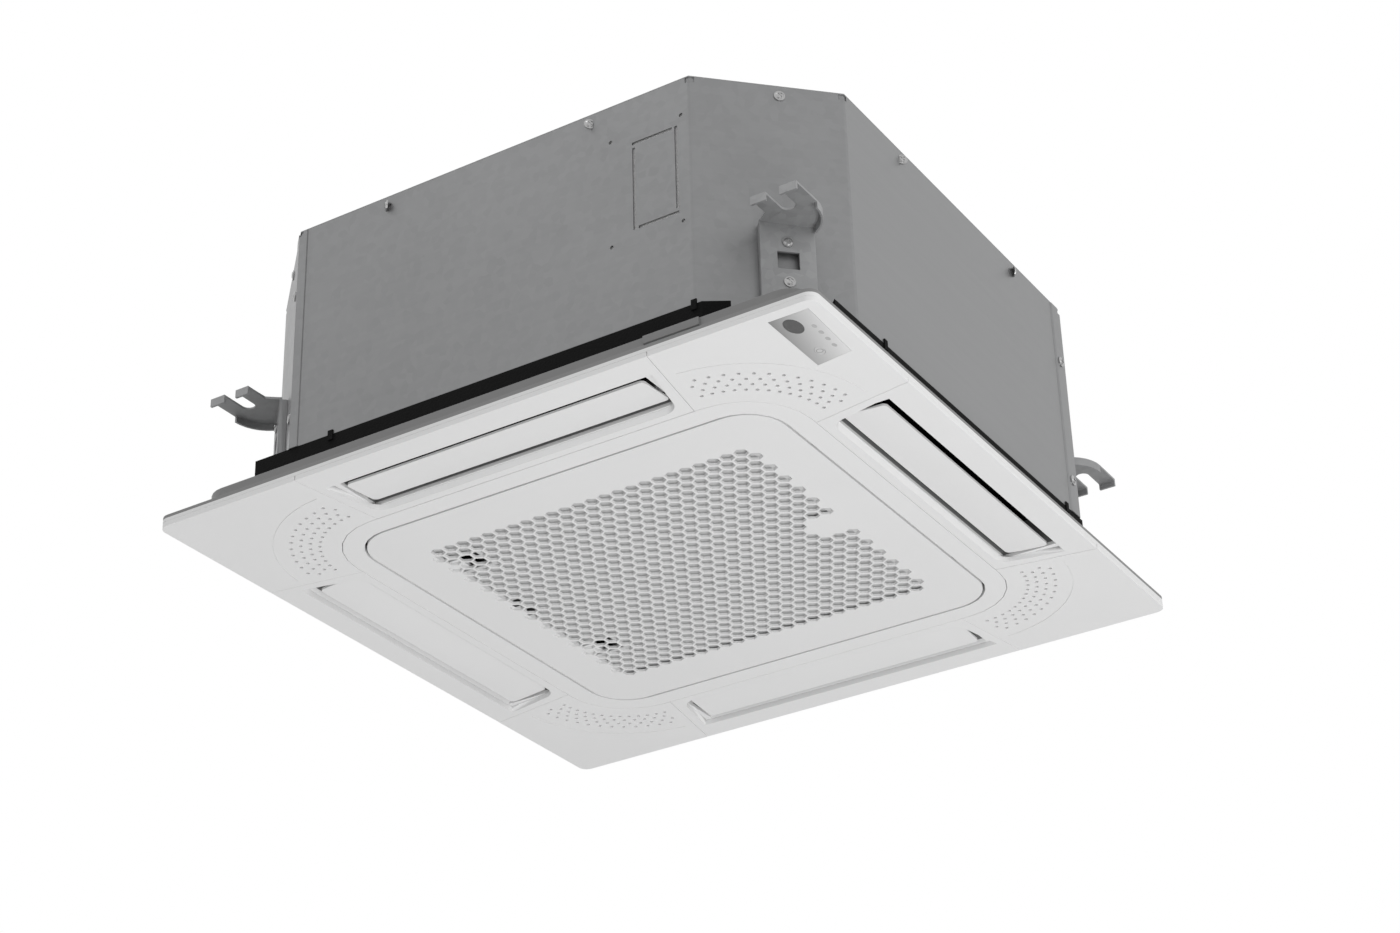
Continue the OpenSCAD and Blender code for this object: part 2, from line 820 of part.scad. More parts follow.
module drain_pump() {
    color(fan_white) translate([-pump_x, pump_y, 0]) difference() {
        union() {
            translate([0, 0, chamber_low]) cylinder(r1 = chamber_r - leg_w / 2, r2 = chamber_r + mould_t,
                h = chamber_top - chamber_low);
            translate([0, 0, chamber_top]) cylinder(r = pump_r, h = volute_h);
            translate([0, 0, chamber_top]) cylinder(r = pump_can_r, h = pump_top - chamber_top);
            translate([0, 0, outlet_z]) rotate([-90, 0, 0])
                cylinder(r = drain_pipe_r, h = drain_start - pump_y);
            for (a = [45, 165, 285]) rotate([0, 0, a]) translate([pump_r - leg_w, -leg_w / 2, sump_floor])
                cube([leg_w, leg_w, chamber_top - sump_floor + over]);
        }
        translate([0, 0, chamber_low - over])
            cylinder(r = chamber_r - leg_w, h = chamber_top - chamber_low - mould_t + over);
        translate([0, 0, impeller_z]) cylinder(r = impeller_r + 2 * slack + over / 2, h = chamber_top - impeller_z - mould_t);
        translate([0, 0, impeller_z]) cylinder(r = pump_shaft_r + shaft_fit, h = pump_top - impeller_z - motor_cap);
        translate([0, 0, outlet_z]) rotate([-90, 0, 0])
            cylinder(r = drain_bore_r, h = drain_start - pump_y + over);
    }
}
impeller_z = 76;
rotor_lift = 1;
vane_t = 1;
motor_cap = 12;
drain_start = coil_half - 2;

module pump_impeller() {
    color(motor_grey) translate([-pump_x, pump_y, 0]) union() {
        translate([0, 0, impeller_z + rotor_lift])
            cylinder(r = pump_shaft_r, h = pump_top - impeller_z - motor_cap - 2 * rotor_lift);
        translate([0, 0, impeller_z + rotor_lift]) cylinder(r = impeller_r - vane_t, h = impeller_t);
        for (a = [0:60:300]) rotate([0, 0, a]) translate([0, -vane_t / 2, impeller_z + rotor_lift])
            cube([impeller_r - slack, vane_t, 3 * impeller_t]);
    }
}

float_stem_r = 2.5;
float_r = 8;
float_h = 12;
float_fit = 0.3;
float_base_r = 6;
float_base_t = 2;
float_top = 128;

module float_switch() {
    color(fan_white) translate([-float_x, float_x, 0]) union() {
        translate([0, 0, sump_floor]) cylinder(r = float_base_r, h = float_base_t);
        translate([0, 0, sump_floor]) cylinder(r = float_stem_r, h = float_top - sump_floor);
        translate([0, 0, float_top - float_h]) cylinder(r = float_base_r, h = float_h);
    }
}

module float_ring() {
    color("#3f6fa8") translate([-float_x, float_x, sump_floor + float_base_t + slack])
        tube(float_r, float_stem_r + float_fit, float_h);
}

module drain_port() {
    color(fan_white) translate([-pump_x, 0, outlet_z]) rotate([-90, 0, 0]) difference() {
        union() {
            translate([0, 0, drain_start]) cylinder(r = drain_pipe_r, h = nut_end - drain_start);
            translate([0, 0, body_half]) cylinder(r = drain_r, h = nut_end - body_half);
            translate([0, 0, body_half]) cylinder(r = drain_flange_r, h = mould_t);
        }
        translate([0, 0, drain_start - over]) cylinder(r = drain_bore_r, h = far);
        translate([0, 0, body_half + 2 * mould_t]) cylinder(r = drain_r - mould_t, h = far);
    }
}
drain_flange_r = 20;

// Fan motor and how it hangs

bracket_in_r = ear_ring_r - 26;
bracket_out_r = ear_ring_r + 18;
slab_hole_r = bracket_out_r + 3;
bracket_t = 2;

module on_ears() {
    for (a = [45:90:315]) rotate([0, 0, a]) translate([ear_ring_r, 0, 0]) children();
}

module motor_bracket() {
    top = body_top - sheet_t;
    bush_top = ear_low + ear_t + bush_over;
    color(galvanised) union() {
        slab(top - bracket_t, top) difference() {
            circle(bracket_out_r);
            circle(bracket_in_r);
        }
        on_ears() translate([0, 0, bush_top]) cylinder(r = bush_r, h = top - bracket_t - bush_top + over);
        on_ears() translate([0, 0, ear_low - 2 * bush_over]) cylinder(r = stud_r, h = bush_top - ear_low + 2 * bush_over + over);
    }
}

module motor_nuts() {
    color(zinc) on_ears() translate([0, 0, ear_low - 2 * bush_over + over]) difference() {
        cylinder(r = 2 * stud_r, h = bush_over - over, $fn = 6);
        translate([0, 0, -over]) cylinder(r = stud_r + union_fit, h = 2 * bush_over);
    }
}

module motor_bushes() {
    color(rubber_black) on_ears() translate([0, 0, ear_low - bush_over]) difference() {
        union() {
            cylinder(r = bush_r, h = bush_over);
            cylinder(r = bush_neck_r, h = 2 * bush_over + ear_t);
            translate([0, 0, bush_over + ear_t]) cylinder(r = bush_r, h = bush_over);
        }
        translate([0, 0, -over]) cylinder(r = stud_r + union_fit, h = 3 * bush_over + ear_t);
    }
}

motor_edge = 6;

module fan_motor() {
    color(motor_grey) difference() {
        union() {
            rotate_extrude() polygon([[0, motor_low], [motor_r - motor_edge, motor_low],
                [motor_r, motor_low + motor_edge], [motor_r, motor_high - motor_edge],
                [motor_r - motor_edge, motor_high], [0, motor_high]]);
            slab(ear_low, ear_low + ear_t) for (a = [45:90:315]) rotate([0, 0, a]) {
                translate([0, -ear_r]) square([ear_ring_r, 2 * ear_r]);
                translate([ear_ring_r, 0]) circle(ear_r);
            }
        }
        translate([0, 0, motor_low - over]) cylinder(r = shaft_r + shaft_fit, h = motor_high - motor_low - motor_cap + over);
        on_ears() translate([0, 0, ear_low - over]) cylinder(r = bush_neck_r + union_fit, h = ear_t + 2 * over);
    }
}

nut_h = 8;
shaft_end = 3;

module motor_shaft() {
    low = hub_boss_z - nut_h - shaft_end;
    color(zinc) translate([0, 0, low]) cylinder(r = shaft_r, h = motor_high - motor_cap - low - shaft_end);
}

module fan_nut() {
    color(zinc) translate([0, 0, hub_boss_z - nut_h]) difference() {
        cylinder(r = 1.8 * shaft_r, h = nut_h, $fn = 6);
        translate([0, 0, -over]) cylinder(r = shaft_r + union_fit, h = nut_h + 2 * over);
    }
}

// Turbo fan: hub cup, back plate, shroud ring and backward-curved blades

shroud_t = 2.5;

function shroud_points(t, n = 10) =
    [for (i = [0:n]) [fan_eye_r + t + (fan_r - fan_eye_r - t) * (1 - cos(90 * i / n)),
                      fan_low + (fan_rise - t) * sin(90 * i / n)]];

module blade_plan() {
    intersection() {
        translate([blade_c, 0]) difference() {
            circle(blade_arc_r + blade_t / 2);
            circle(blade_arc_r - blade_t / 2);
        }
        difference() {
            circle(fan_r - over);
            circle(blade_in_r);
        }
        square(fan_r);
    }
}

module turbo_fan() {
    rim = shroud_points(0);
    color(fan_white) union() {
        rotate_extrude() polygon([[shaft_r + union_fit, hub_boss_z], [hub_boss_r, hub_boss_z],
            [hub_boss_r, hub_floor_z], [hub_r - hub_wall, hub_floor_z], [hub_r, hub_floor_z + hub_wall],
            [hub_r, fan_back_z], [fan_r, fan_back_z], [fan_r, fan_back_z + fan_back_t],
            [hub_r - hub_wall, fan_back_z + fan_back_t], [hub_r - hub_wall, hub_floor_z + hub_wall],
            [shaft_r + union_fit, hub_floor_z + hub_wall]]);
        rotate_extrude() polygon(concat(rim, [for (i = [10:-1:0]) shroud_points(shroud_t)[i]]));
        intersection() {
            slab(fan_low, fan_back_z + over) for (i = [1:blades]) rotate([0, 0, 360 * i / blades]) blade_plan();
            rotate_extrude() polygon(concat([[blade_in_r - over, fan_low + fan_rise * half_share]],
                [for (p = rim) p + [0, -over / 2]],
                [[fan_r, fan_back_z + over], [blade_in_r - over, fan_back_z + over]]));
        }
    }
}

// Electrical box, under the drain pan's front edge of the intake

box_half = grille_half - 69.5;
box_out = grille_half - 1.5;
box_w = 56;
box_in = box_out - box_w;
box_low = 12;
box_t = 1.5;
board_t = 1.6;
board_z = frame_h - 7.5;
post_r = 2.5;

module electrical_box() {
    color(galvanised) union() {
        difference() {
            block([-box_half, box_in, box_low], [box_half, box_out, frame_h]);
            block([box_t - box_half, box_in + box_t, box_low - over],
                  [box_half - box_t, box_out - box_t, frame_h - box_t]);
        }
        for (x = [-board_post_x, board_x1 - board_in], y = [box_in + board_in, box_out - board_in])
            translate([x, y, board_z + board_t]) cylinder(r = post_r, h = frame_h - box_t - board_z - board_t);
    }
}
board_in = 10;
board_x0 = 8 - box_half;
board_x1 = box_half - 12;
board_post_x = box_half - 18;

module electrical_cover() {
    color(galvanised) block([-box_half, box_in, box_low - box_t], [box_half, box_out, box_low]);
}

cap_r = 7;
relay = [16, 12, 10];
transformer = [30, 26, 12];
terminal = [55, 16, 12];
terminal_pitch = 11;

module control_board() {
    color(board_green) union() {
        block([board_x0, box_in + 2 * box_t + over, board_z], [board_x1, box_out - 2 * box_t - over, board_z + board_t]);
        for (x = [board_x0 + 2 * board_in, board_x0 + 2 * board_in + 3 * cap_r]) translate([x, box_in + 2 * board_in, board_z - relay[2]])
            cylinder(r = cap_r, h = relay[2]);
        for (i = [0:2]) translate([board_x1 - (i + 1) * 1.5 * relay[0], box_out - 2 * relay[1], board_z - relay[2]])
            cube(relay);
        translate([-transformer[0], box_in + board_in, board_z - transformer[2]]) cube(transformer);
        translate([board_x1 - terminal[0], box_in + board_in, board_z - terminal[2]]) difference() {
            cube(terminal);
            for (i = [0:4]) translate([(i + half_share) * terminal_pitch, terminal[1] / 2, -over])
                cylinder(r = post_r, h = terminal[2] / 2);
        }
    }
}

// Panel frame: flat-faced all over, with the flaps' round bearings let into it

boss_r = 9;
boss_well_r = 6.5;
boss_seat_z = 12;
bolt_head_h = 3;
bolt_root = 1;
ledge_t0 = upstand_half - 137;
ledge_t1 = upstand_half - 87;
ledge_out = 2;
ledge_h = 7;

function duct_outline(grow, z0, z1) = [[duct_in - grow, z0], [duct_out + grow, z0],
    [duct_out + grow, cover_h], [duct_top + grow, frame_h], [duct_top + grow, z1], [duct_in - grow, z1]];

module bearing_window(t0, t1, play) {
    half = bearing_half + play;
    along_side(t0, t1) translate([pivot_a - half, pivot_z - half]) square(2 * half);
}

// Guides of the two hinge links: open towards the grille's edge where it swings past
module hinge_guides() {
    back = hinge_x - link_r - slack;
    edge = hinge_x + link_r;
    outer = link_y + link_w + slack + guide_t;
    inner = hinge_y - guide_t;
    for (s = [0, 1]) mirror([0, s, 0]) difference() {
        union() {
            block([back - guide_t, link_y, guide_low], [back, outer, frame_h]);
            block([back - guide_t, outer - guide_t, guide_low], [edge, outer, frame_h]);
            block([back - guide_t, inner, guide_in_low], [edge, hinge_y, frame_h]);
            block([back - guide_t, inner, guide_front_low], [edge + slack + guide_t, outer, frame_h]);
            block([back - guide_t, inner, hinge_z + hinge_in + beam_gap], [opening_half + over, outer, frame_h]);
        }
        block([back, hinge_y, guide_low - over], [edge + slack, outer - guide_t, frame_h + over]);
        block([hinge_x - link_head_w - slack, outer - guide_t - over, guide_slot_low],
              [hinge_x + link_head_w + slack, outer + over, frame_h + over]);
    }
}

module panel_frame() {
    color(frame_grey) union() {
        difference() {
            union() {
                slab(cover_h, plate_top) polygon(round_square(panel_half, panel_corner_r));
                slab(cover_h, rim_h) square_ring(panel_half, panel_corner_r, mould_t);
                slab(cover_h, frame_h) square_ring(upstand_half, upstand_r, frame_wall);
                slab(0, cover_h) polygon(round_square(ring_half, ring_corner_r));
                slab(0, frame_h) polygon(round_square(opening_half + frame_wall, opening_r + frame_wall));
                for (k = sides) at_side(k) {
                    along_side(-duct_half - frame_wall, duct_half + frame_wall)
                        polygon(duct_outline(frame_wall, cover_h, frame_h));
                    translate([bolt_at, -bolt_at, cover_h]) cylinder(r = boss_r, h = frame_h - cover_h, $fn = 12);
                }
                block([ledge_t0, -upstand_half - ledge_out, frame_h - ledge_h],
                    [ledge_t1, frame_wall * half_share - upstand_half, frame_h]);
            }
            slab(-over, frame_h + over) polygon(round_square(opening_half, opening_r));
            for (k = sides) at_side(k) {
                along_side(-duct_half, duct_half) polygon(duct_outline(0, cover_h - over, frame_h + over));
                for (s = [-1, 1])
                    bearing_window(s * (duct_half + frame_wall / 2) - frame_wall, s * (duct_half + frame_wall / 2) + frame_wall, 0);
                translate([bolt_at, -bolt_at, cover_h - over])
                    cylinder(r = boss_well_r, h = boss_seat_z - cover_h + over, $fn = 12);
                translate([bolt_at, -bolt_at, 0]) cylinder(r = panel_bolt_r + slack, h = frame_h + over, $fn = 12);
            }
        }
        hinge_guides();
    }
}

module panel_bolts() {
    color(zinc) for (k = sides) at_side(k) translate([bolt_at, -bolt_at, 0]) union() {
        translate([0, 0, boss_seat_z - bolt_head_h]) cylinder(r = 2 * panel_bolt_r, h = bolt_head_h, $fn = 6);
        translate([0, 0, boss_seat_z - bolt_root]) cylinder(r = panel_bolt_r, h = sump_floor - boss_seat_z);
    }
}

// Face covers

function slot_points(a_in, a_out, half_in, half_out, r) = concat(
    arc_points([half_in - r, -a_in - r], r, 90, 0),
    [[half_out, -a_out], [-half_out, -a_out]],
    arc_points([r - half_in, -a_in - r], r, 180, 90));

slot_flare = 4.5;

module slot_cut() {
    low = slot_points(slot_in, slot_out, slot_half - slot_flare, slot_half + slot_flare, slot_r);
    high = slot_points(duct_in, duct_out, duct_half, slot_half, slot_r - slot_bevel);
    slab(-over, slack) polygon(low);
    hull() {
        slab(0, slack) polygon(low);
        slab(cover_h - slack, cover_h + over) polygon(high);
    }
}

module side_plan() {
    g = seam_gap / 2;
    polygon([[g - seam_in, -ring_half - seam_gap], [seam_in - g, -ring_half - seam_gap],
             [seam_out - g, -panel_half], [g - seam_out, -panel_half]]);
}

module side_cover(k) {
    wall = 2 * mould_t;
    color(cover_white) at_side(k) difference() {
        union() {
            slab(0, mould_t) side_plan();
            slab(mould_t, cover_h) intersection() {
                side_plan();
                union() {
                    translate([-panel_half, -panel_half]) square([2 * panel_half, mould_t]);
                    translate([-slot_half - slot_flare - wall, -slot_out - wall])
                        square([2 * (slot_half + slot_flare + wall), slot_out - slot_in + 2 * wall]);
                }
            }
        }
        slot_cut();
    }
}

module side_cover_front() { side_cover(0); }
module side_cover_right() { side_cover(1); }
module side_cover_rear() { side_cover(2); }
module side_cover_left() { side_cover(3); }

hole_r = 1.6;
hole_c = ring_half - 57.4;
hole_rows = [98.2, 90.2, 82.3, 74.4];
hole_counts = [12, 13, 12, 13];
hole_step = 6.7;
line_r = 112.8;
line_w = 0.7;
line_depth = 0.4;
line_half = 41;

module corner_plan() {
    g = seam_gap / 2;
    polygon(concat([[seam_in + g, -ring_half - seam_gap], [seam_out + g, -panel_half]],
        arc_points([panel_half - panel_corner_r, panel_corner_r - panel_half], panel_corner_r, -90, 0),
        [[panel_half, -seam_out - g], [ring_half + seam_gap, -seam_in - g]],
        arc_points([ring_half - ring_corner_r, ring_corner_r - ring_half], ring_corner_r + seam_gap, 0, -90)));
}

module corner_cover(k) {
    color(cover_white) at_side(k) difference() {
        union() {
            slab(0, mould_t) corner_plan();
            slab(mould_t, cover_h) intersection() {
                corner_plan();
                union() {
                    square_ring(panel_half, panel_corner_r, mould_t);
                    at_corner(0) translate([bolt_at * sqrt(2) + 2 * boss_r, -boss_r]) square([mould_t, 2 * boss_r]);
                    at_corner(0) translate([bolt_at * sqrt(2) - 2 * boss_r, -boss_r]) square([mould_t, 2 * boss_r]);
                }
            }
        }
        for (row = [0:len(hole_rows) - 1], i = [0:hole_counts[row] - 1])
            translate([hole_c, -hole_c, 0]) rotate([0, 0, hole_step * (i - (hole_counts[row] - 1) / 2) - 45])
                translate([hole_rows[row], 0, -over]) cylinder(r = hole_r, h = cover_h + 2 * over, $fn = 12);
        slab(-over, line_depth) polygon(concat(
            arc_points([hole_c, -hole_c], line_r + line_w, -45 - line_half, line_half - 45, 2 * corner_steps),
            arc_points([hole_c, -hole_c], line_r, line_half - 45, -45 - line_half, 2 * corner_steps)));
        if (k == 0) slab(-over, cover_h + over) offset(delta = slack) display_plan();
    }
}

module corner_cover_front_right() { corner_cover(0); }
module corner_cover_rear_right() { corner_cover(1); }
module corner_cover_rear_left() { corner_cover(2); }
module corner_cover_front_left() { corner_cover(3); }

// Flaps, their bearings and step motors

flap_in = slot_in + 8.4;
flap_out = slot_out - 8.9;
flap_in_z = 6.6;
flap_out_z = 3;
flap_t = 2;
flap_sag = 0.7;
flap_end_r = 4;
flap_arm_w = 3;
flap_rib_w = 1.6;
pivot_eye_r = 4.5;
drive_len = 10;
step_motor_r = 12;
step_motor_t = 16;
step_motor_up = frame_h - pivot_z - step_motor_r - 2.5;
step_ear = 17;
step_ear_t = 2;
step_hole_r = 1;

function flap_edge(z_share, lift) =
    [for (i = [0:4]) let (s = i / 4) [flap_in + (flap_out - flap_in) * s,
        flap_in_z + (flap_out_z - flap_in_z) * s - 4 * flap_sag * s * (1 - s) * z_share + lift]];

module flap_arm_outline() {
    polygon(concat([for (p = flap_edge(1, flap_t * half_share)) if (p[0] < pivot_a + 4 * pivot_eye_r) p],
        [[pivot_a + pivot_eye_r, pivot_z], [pivot_a - pivot_eye_r, pivot_z]]));
    translate([pivot_a, pivot_z]) circle(pivot_eye_r);
}

module flap(k) {
    color(cover_white) at_side(k) union() {
        intersection() {
            along_side(-flap_half, flap_half) {
                polygon(concat(flap_edge(1, 0), [for (i = [4:-1:0]) flap_edge(1, flap_t)[i]]));
            }
            slab(-over, frame_h) polygon(concat(
                arc_points([flap_half - flap_end_r, flap_end_r - flap_out], flap_end_r, -90, 0),
                arc_points([flap_half - flap_end_r, -flap_end_r - flap_in], flap_end_r, 0, 90),
                arc_points([flap_end_r - flap_half, -flap_end_r - flap_in], flap_end_r, 90, 180),
                arc_points([flap_end_r - flap_half, flap_end_r - flap_out], flap_end_r, 180, 270)));
        }
        for (s = [-1, 1]) along_side(s * (flap_half - flap_end_r) - (s > 0 ? flap_arm_w : 0),
                s * (flap_half - flap_end_r) + (s > 0 ? 0 : flap_arm_w)) flap_arm_outline();
        for (s = [-2:2]) along_side(s * flap_half / 3 - flap_rib_w / 2, s * flap_half / 3 + flap_rib_w / 2)
            polygon(concat([for (p = flap_edge(1, flap_t * half_share)) p],
                [[flap_out - flap_end_r, flap_out_z + 1.5 * flap_t], [pivot_a, flap_in_z + 2 * flap_t]]));
        along_side(-duct_half - frame_wall + slack, duct_half + frame_wall + drive_len)
            translate([pivot_a, pivot_z]) circle(pivot_r);
    }
}

module flap_front() { flap(0); }
module flap_right() { flap(1); }
module flap_rear() { flap(2); }
module flap_left() { flap(3); }

module flap_bearings() {
    color(fan_white) for (k = sides) at_side(k) for (t = [-duct_half - frame_wall, duct_half]) difference() {
        bearing_window(t, t + frame_wall, 0);
        along_side(t - over, t + frame_wall + over) translate([pivot_a, pivot_z]) circle(pivot_r + run_gap);
    }
}

module flap_motors() {
    t0 = duct_half + frame_wall;
    color(silver) for (k = sides) at_side(k) difference() {
        union() {
            along_side(t0, t0 + step_motor_t) translate([pivot_a, pivot_z + step_motor_up]) circle(step_motor_r);
            along_side(t0, t0 + step_ear_t) difference() {
                translate([pivot_a - step_ear, pivot_z + step_motor_up - bearing_half])
                    square([2 * step_ear, 2 * bearing_half]);
                for (s = [-1, 1]) translate([pivot_a + s * (step_ear - 2 * step_hole_r), pivot_z + step_motor_up])
                    circle(step_hole_r);
            }
        }
        along_side(t0 - over, t0 + drive_len + over) translate([pivot_a, pivot_z]) circle(pivot_r + run_gap);
    }
}

// Intake grille: flat-faced, one pierced sheet with a skirt

grille_corner_steps = 8;

module grille_outline(inset) {
    h = grille_half - inset;
    r = grille_corner_r - inset;
    n = grille_corner_steps;
    polygon(concat(arc_points([h - r, h - r], r, 0, 90, n), arc_points([r - h, h - r], r, 90, 180, n),
        arc_points([r - h, r - h], r, 180, 270, n), arc_points([h - r, r - h], r, 270, 360, n)));
}

// Hexagons left out of a row at the right, where the face stays plain
function left_out(row) = row == 0 ? 3 : abs(row) == 1 ? 2 : 0;

module hex_field() {
    half_rows = (hex_rows - 1) / 2;
    r = (hex_pitch - hex_wall) / sqrt(3);
    for (row = [-half_rows:half_rows]) {
        count = hex_cols - abs(row % 2);
        for (i = [0:count - 1 - left_out(row)])
            translate([(i - (count - 1) / 2) * hex_pitch, row * hex_pitch * sqrt(3) / 2])
                rotate(30) circle(r, $fn = 6);
    }
}

latch_x = filter_half - 6;
latch_ys = [46 - filter_half, filter_half - 69];
latch_half = 9;
latch_len = 15;
latch_bar = 4;
latch_z = grille_t + slack;
latch_t = 3.2;
latch_tip = 0.3;
latch_rib = 1;
latch_guide = 2;
lug_half = 3.5;

// The pierced face: one flat sheet
module intake_grille() {
    color(grille_white) slab(0, grille_t) difference() {
        grille_outline(0);
        hex_field();
    }
}

// The skirt behind the face, with the hinge lugs, the latches' guides and a rib round the filter
module grille_frame() {
    skirt_cut = link_w + 2 * (slack + guide_t + skirt_play);
    color(grille_white) difference() {
        union() {
            slab(grille_t, skirt_h) difference() {
                grille_outline(0);
                grille_outline(mould_t);
            }
            slab(grille_t, filter_low + mould_t) difference() {
                polygon(round_square(filter_half + mould_t + slack, filter_corner_r));
                polygon(round_square(filter_half + slack, filter_corner_r));
                for (y = latch_ys) translate([-grille_half, y - filter_notch_half]) square([grille_half / 2, 2 * filter_notch_half]);
            }
            for (k = sides, t = [-bridge_at, bridge_at]) at_side(k)
                translate([t - mould_t / 2, -grille_half + mould_t / 2, grille_t])
                    cube([mould_t, grille_half - filter_half - mould_t, mould_t]);
            for (s = [-1, 1]) {
                translate([hinge_x - lug_half, s * (hinge_y - lug_w / 2) - lug_w / 2, grille_t])
                    cube([2 * lug_half, lug_w, hinge_z + link_r - grille_t]);
                translate([hinge_x, s * (hinge_y - lug_w) - (s > 0 ? lug_w / 2 : 0), grille_t])
                    cube([grille_half - hinge_x - mould_t / 2, lug_w / 2, mould_t]);
            }
            for (y = latch_ys) {
                translate([guide_x, y - latch_bar - latch_guide - slack, grille_t])
                    cube([2 * latch_bar, 2 * (latch_bar + latch_guide + slack), latch_t + 2 * slack + latch_guide]);
                for (s = [-1, 1]) translate([-grille_half + mould_t / 2, y + s * (latch_bar + latch_guide / 2 + slack) - latch_guide / 2, grille_t])
                    cube([guide_x + grille_half, latch_guide, mould_t]);
            }
        }
        for (s = [-1, 1]) {
            translate([grille_half - mould_t - over, s * (link_y + link_w / 2) - skirt_cut / 2, grille_t - over])
                cube([mould_t + 2 * over, skirt_cut, skirt_h]);
            translate([hinge_x, s * (hinge_y - lug_w / 2), hinge_z]) rotate([90, 0, 0])
                cylinder(r = (hinge_pin_r + slack / 4) / cos(15), h = 2 * lug_w, $fn = 12, center = true);
        }
        for (y = latch_ys) block([-grille_half - over, y - latch_bar - slack, grille_t - over],
            [guide_x + 3 * latch_bar, y + latch_bar + slack, latch_z + latch_t + slack]);
    }
}
bridge_at = 60;
guide_x = -grille_half + 3 * mould_t;

// Links that slide down in the panel frame as the grille opens, each with its pin
module grille_hinge_links() {
    color(zinc) for (s = [-1, 1]) union() {
        translate([0, s * (link_y + link_w / 2) + link_w / 2, 0]) rotate([90, 0, 0]) linear_extrude(link_w) union() {
            translate([hinge_x, hinge_z]) circle(link_r, $fn = 12);
            translate([hinge_x - link_r, hinge_z]) square([2 * link_r, link_top - hinge_z]);
        }
        translate([hinge_x - link_head_w, s * (link_y + link_w) - link_head_out, link_top - link_head_t])
            cube([2 * link_head_w, 2 * link_head_out, link_head_t]);
        translate([hinge_x, s * (hinge_y - lug_w / 2 + link_w / 4), hinge_z]) rotate([90, 0, 0])
            cylinder(r = hinge_pin_r, h = lug_w + link_w / 2, center = true);
    }
}

module grille_latch(y) {
    tip = -opening_half + latch_tip;
    color(grille_white) union() {
        block([-latch_x - latch_len / 2, y - latch_half, latch_z], [-latch_x + latch_len / 2, y + latch_half, latch_z + latch_t]);
        block([tip, y - latch_bar, latch_z], [-latch_x, y + latch_bar, latch_z + latch_t]);
        for (i = [-1:1]) block([-latch_x + i * latch_bar - latch_rib / 2, y - latch_half / 2, latch_z + latch_t],
            [-latch_x + i * latch_bar + latch_rib / 2, y + latch_half / 2, latch_z + latch_t + latch_rib]);
    }
}

module grille_latch_front() { grille_latch(latch_ys[0]); }
module grille_latch_rear() { grille_latch(latch_ys[1]); }

filter_rim = 4;
filter_low = grille_t;
filter_high = 7;
mesh_z = 4.5;
mesh_t = 0.5;
filter_bars = 5;
filter_notch = 33;
filter_notch_half = 12;
filter_corner_r = 6;

module filter_plan() {
    difference() {
        polygon(round_square(filter_half, filter_corner_r));
        for (y = latch_ys) translate([-filter_half - over, y - filter_notch_half])
            square([filter_notch + over, 2 * filter_notch_half]);
    }
}

module filter_plan_inside() {
    difference() {
        polygon(round_square(filter_half - filter_rim, filter_corner_r - filter_rim));
        for (y = latch_ys) translate([-filter_half - over, y - filter_notch_half - filter_rim])
            square([filter_notch + over + filter_rim, 2 * (filter_notch_half + filter_rim)]);
    }
}

module air_filter() {
    pitch = 2 * filter_half / (filter_bars + 1);
    color(filter_grey) union() {
        slab(filter_low, filter_high) difference() {
            filter_plan();
            filter_plan_inside();
        }
        slab(mesh_z, mesh_z + mesh_t) filter_plan();
        slab(mesh_z + mesh_t / 2, filter_high) intersection() {
            filter_plan();
            for (i = [1:filter_bars], a = [0, 90]) rotate([0, 0, a])
                translate([i * pitch - filter_half - filter_rim / 4, -filter_half]) square([filter_rim / 2, 2 * filter_half]);
        }
    }
}

// Display in the front right corner cover

display_x0 = panel_half - 44.5;
display_x1 = panel_half - 13.7;
display_x2 = panel_half - 10.8;
display_y0 = 83.3 - panel_half;
display_y1 = 79 - panel_half;
display_y2 = 10.6 - panel_half;
window_c = [panel_half - 32, 25.9 - panel_half];
window_rx = 6.7;
window_ry = 11.1;
button_c = [panel_half - 33.1, 66.1 - panel_half];
button_rx = 3.5;
button_ry = 5.5;
lens_cs = [for (c = [[20, 65], [19.5, 54.5], [19, 44], [19, 33.7]]) [panel_half - c[0], c[1] - panel_half]];
lens_rx = 1.7;
lens_ry = 2.8;
pcb_t = 1.2;
button_travel = 1;
face_gap = 0.15;

module display_plan() {
    polygon([[display_x0, display_y0], [display_x1, display_y1], [display_x2, display_y2], [display_x0, display_y2]]);
}

module display_plate() {
    foot = 3;
    color(silver) difference() {
        union() {
            slab(0, mould_t) display_plan();
            for (y = [display_y2, display_y1 - foot]) block([display_x0, y, mould_t], [display_x0 + foot, y + foot, cover_h]);
        }
        slab(-over, cover_h + over) {
            polygon(oval(window_c, window_rx + slack / 4, window_ry + slack / 4));
            polygon(oval(button_c, button_rx + slack, button_ry + slack));
            for (c = lens_cs) polygon(oval(c, lens_rx + slack / 4, lens_ry + slack / 4, 16));
        }
    }
}

module receiver_window() {
    color(lens_dark) slab(face_gap, cover_h - pcb_t) polygon(oval(window_c, window_rx, window_ry));
}

module indicator_lenses() {
    color(silver) slab(face_gap, cover_h - pcb_t) for (c = lens_cs) polygon(oval(c, lens_rx, lens_ry, 16));
}

module push_button() {
    color(silver) slab(face_gap, cover_h - pcb_t - button_travel - face_gap)
        polygon(oval(button_c, button_rx, button_ry));
}

module display_board() {
    edge = 3.5;
    color(board_green) block([display_x0 + edge, display_y2 + edge, cover_h - pcb_t],
        [display_x1 - edge / 2, display_y1 - edge, cover_h]);
}

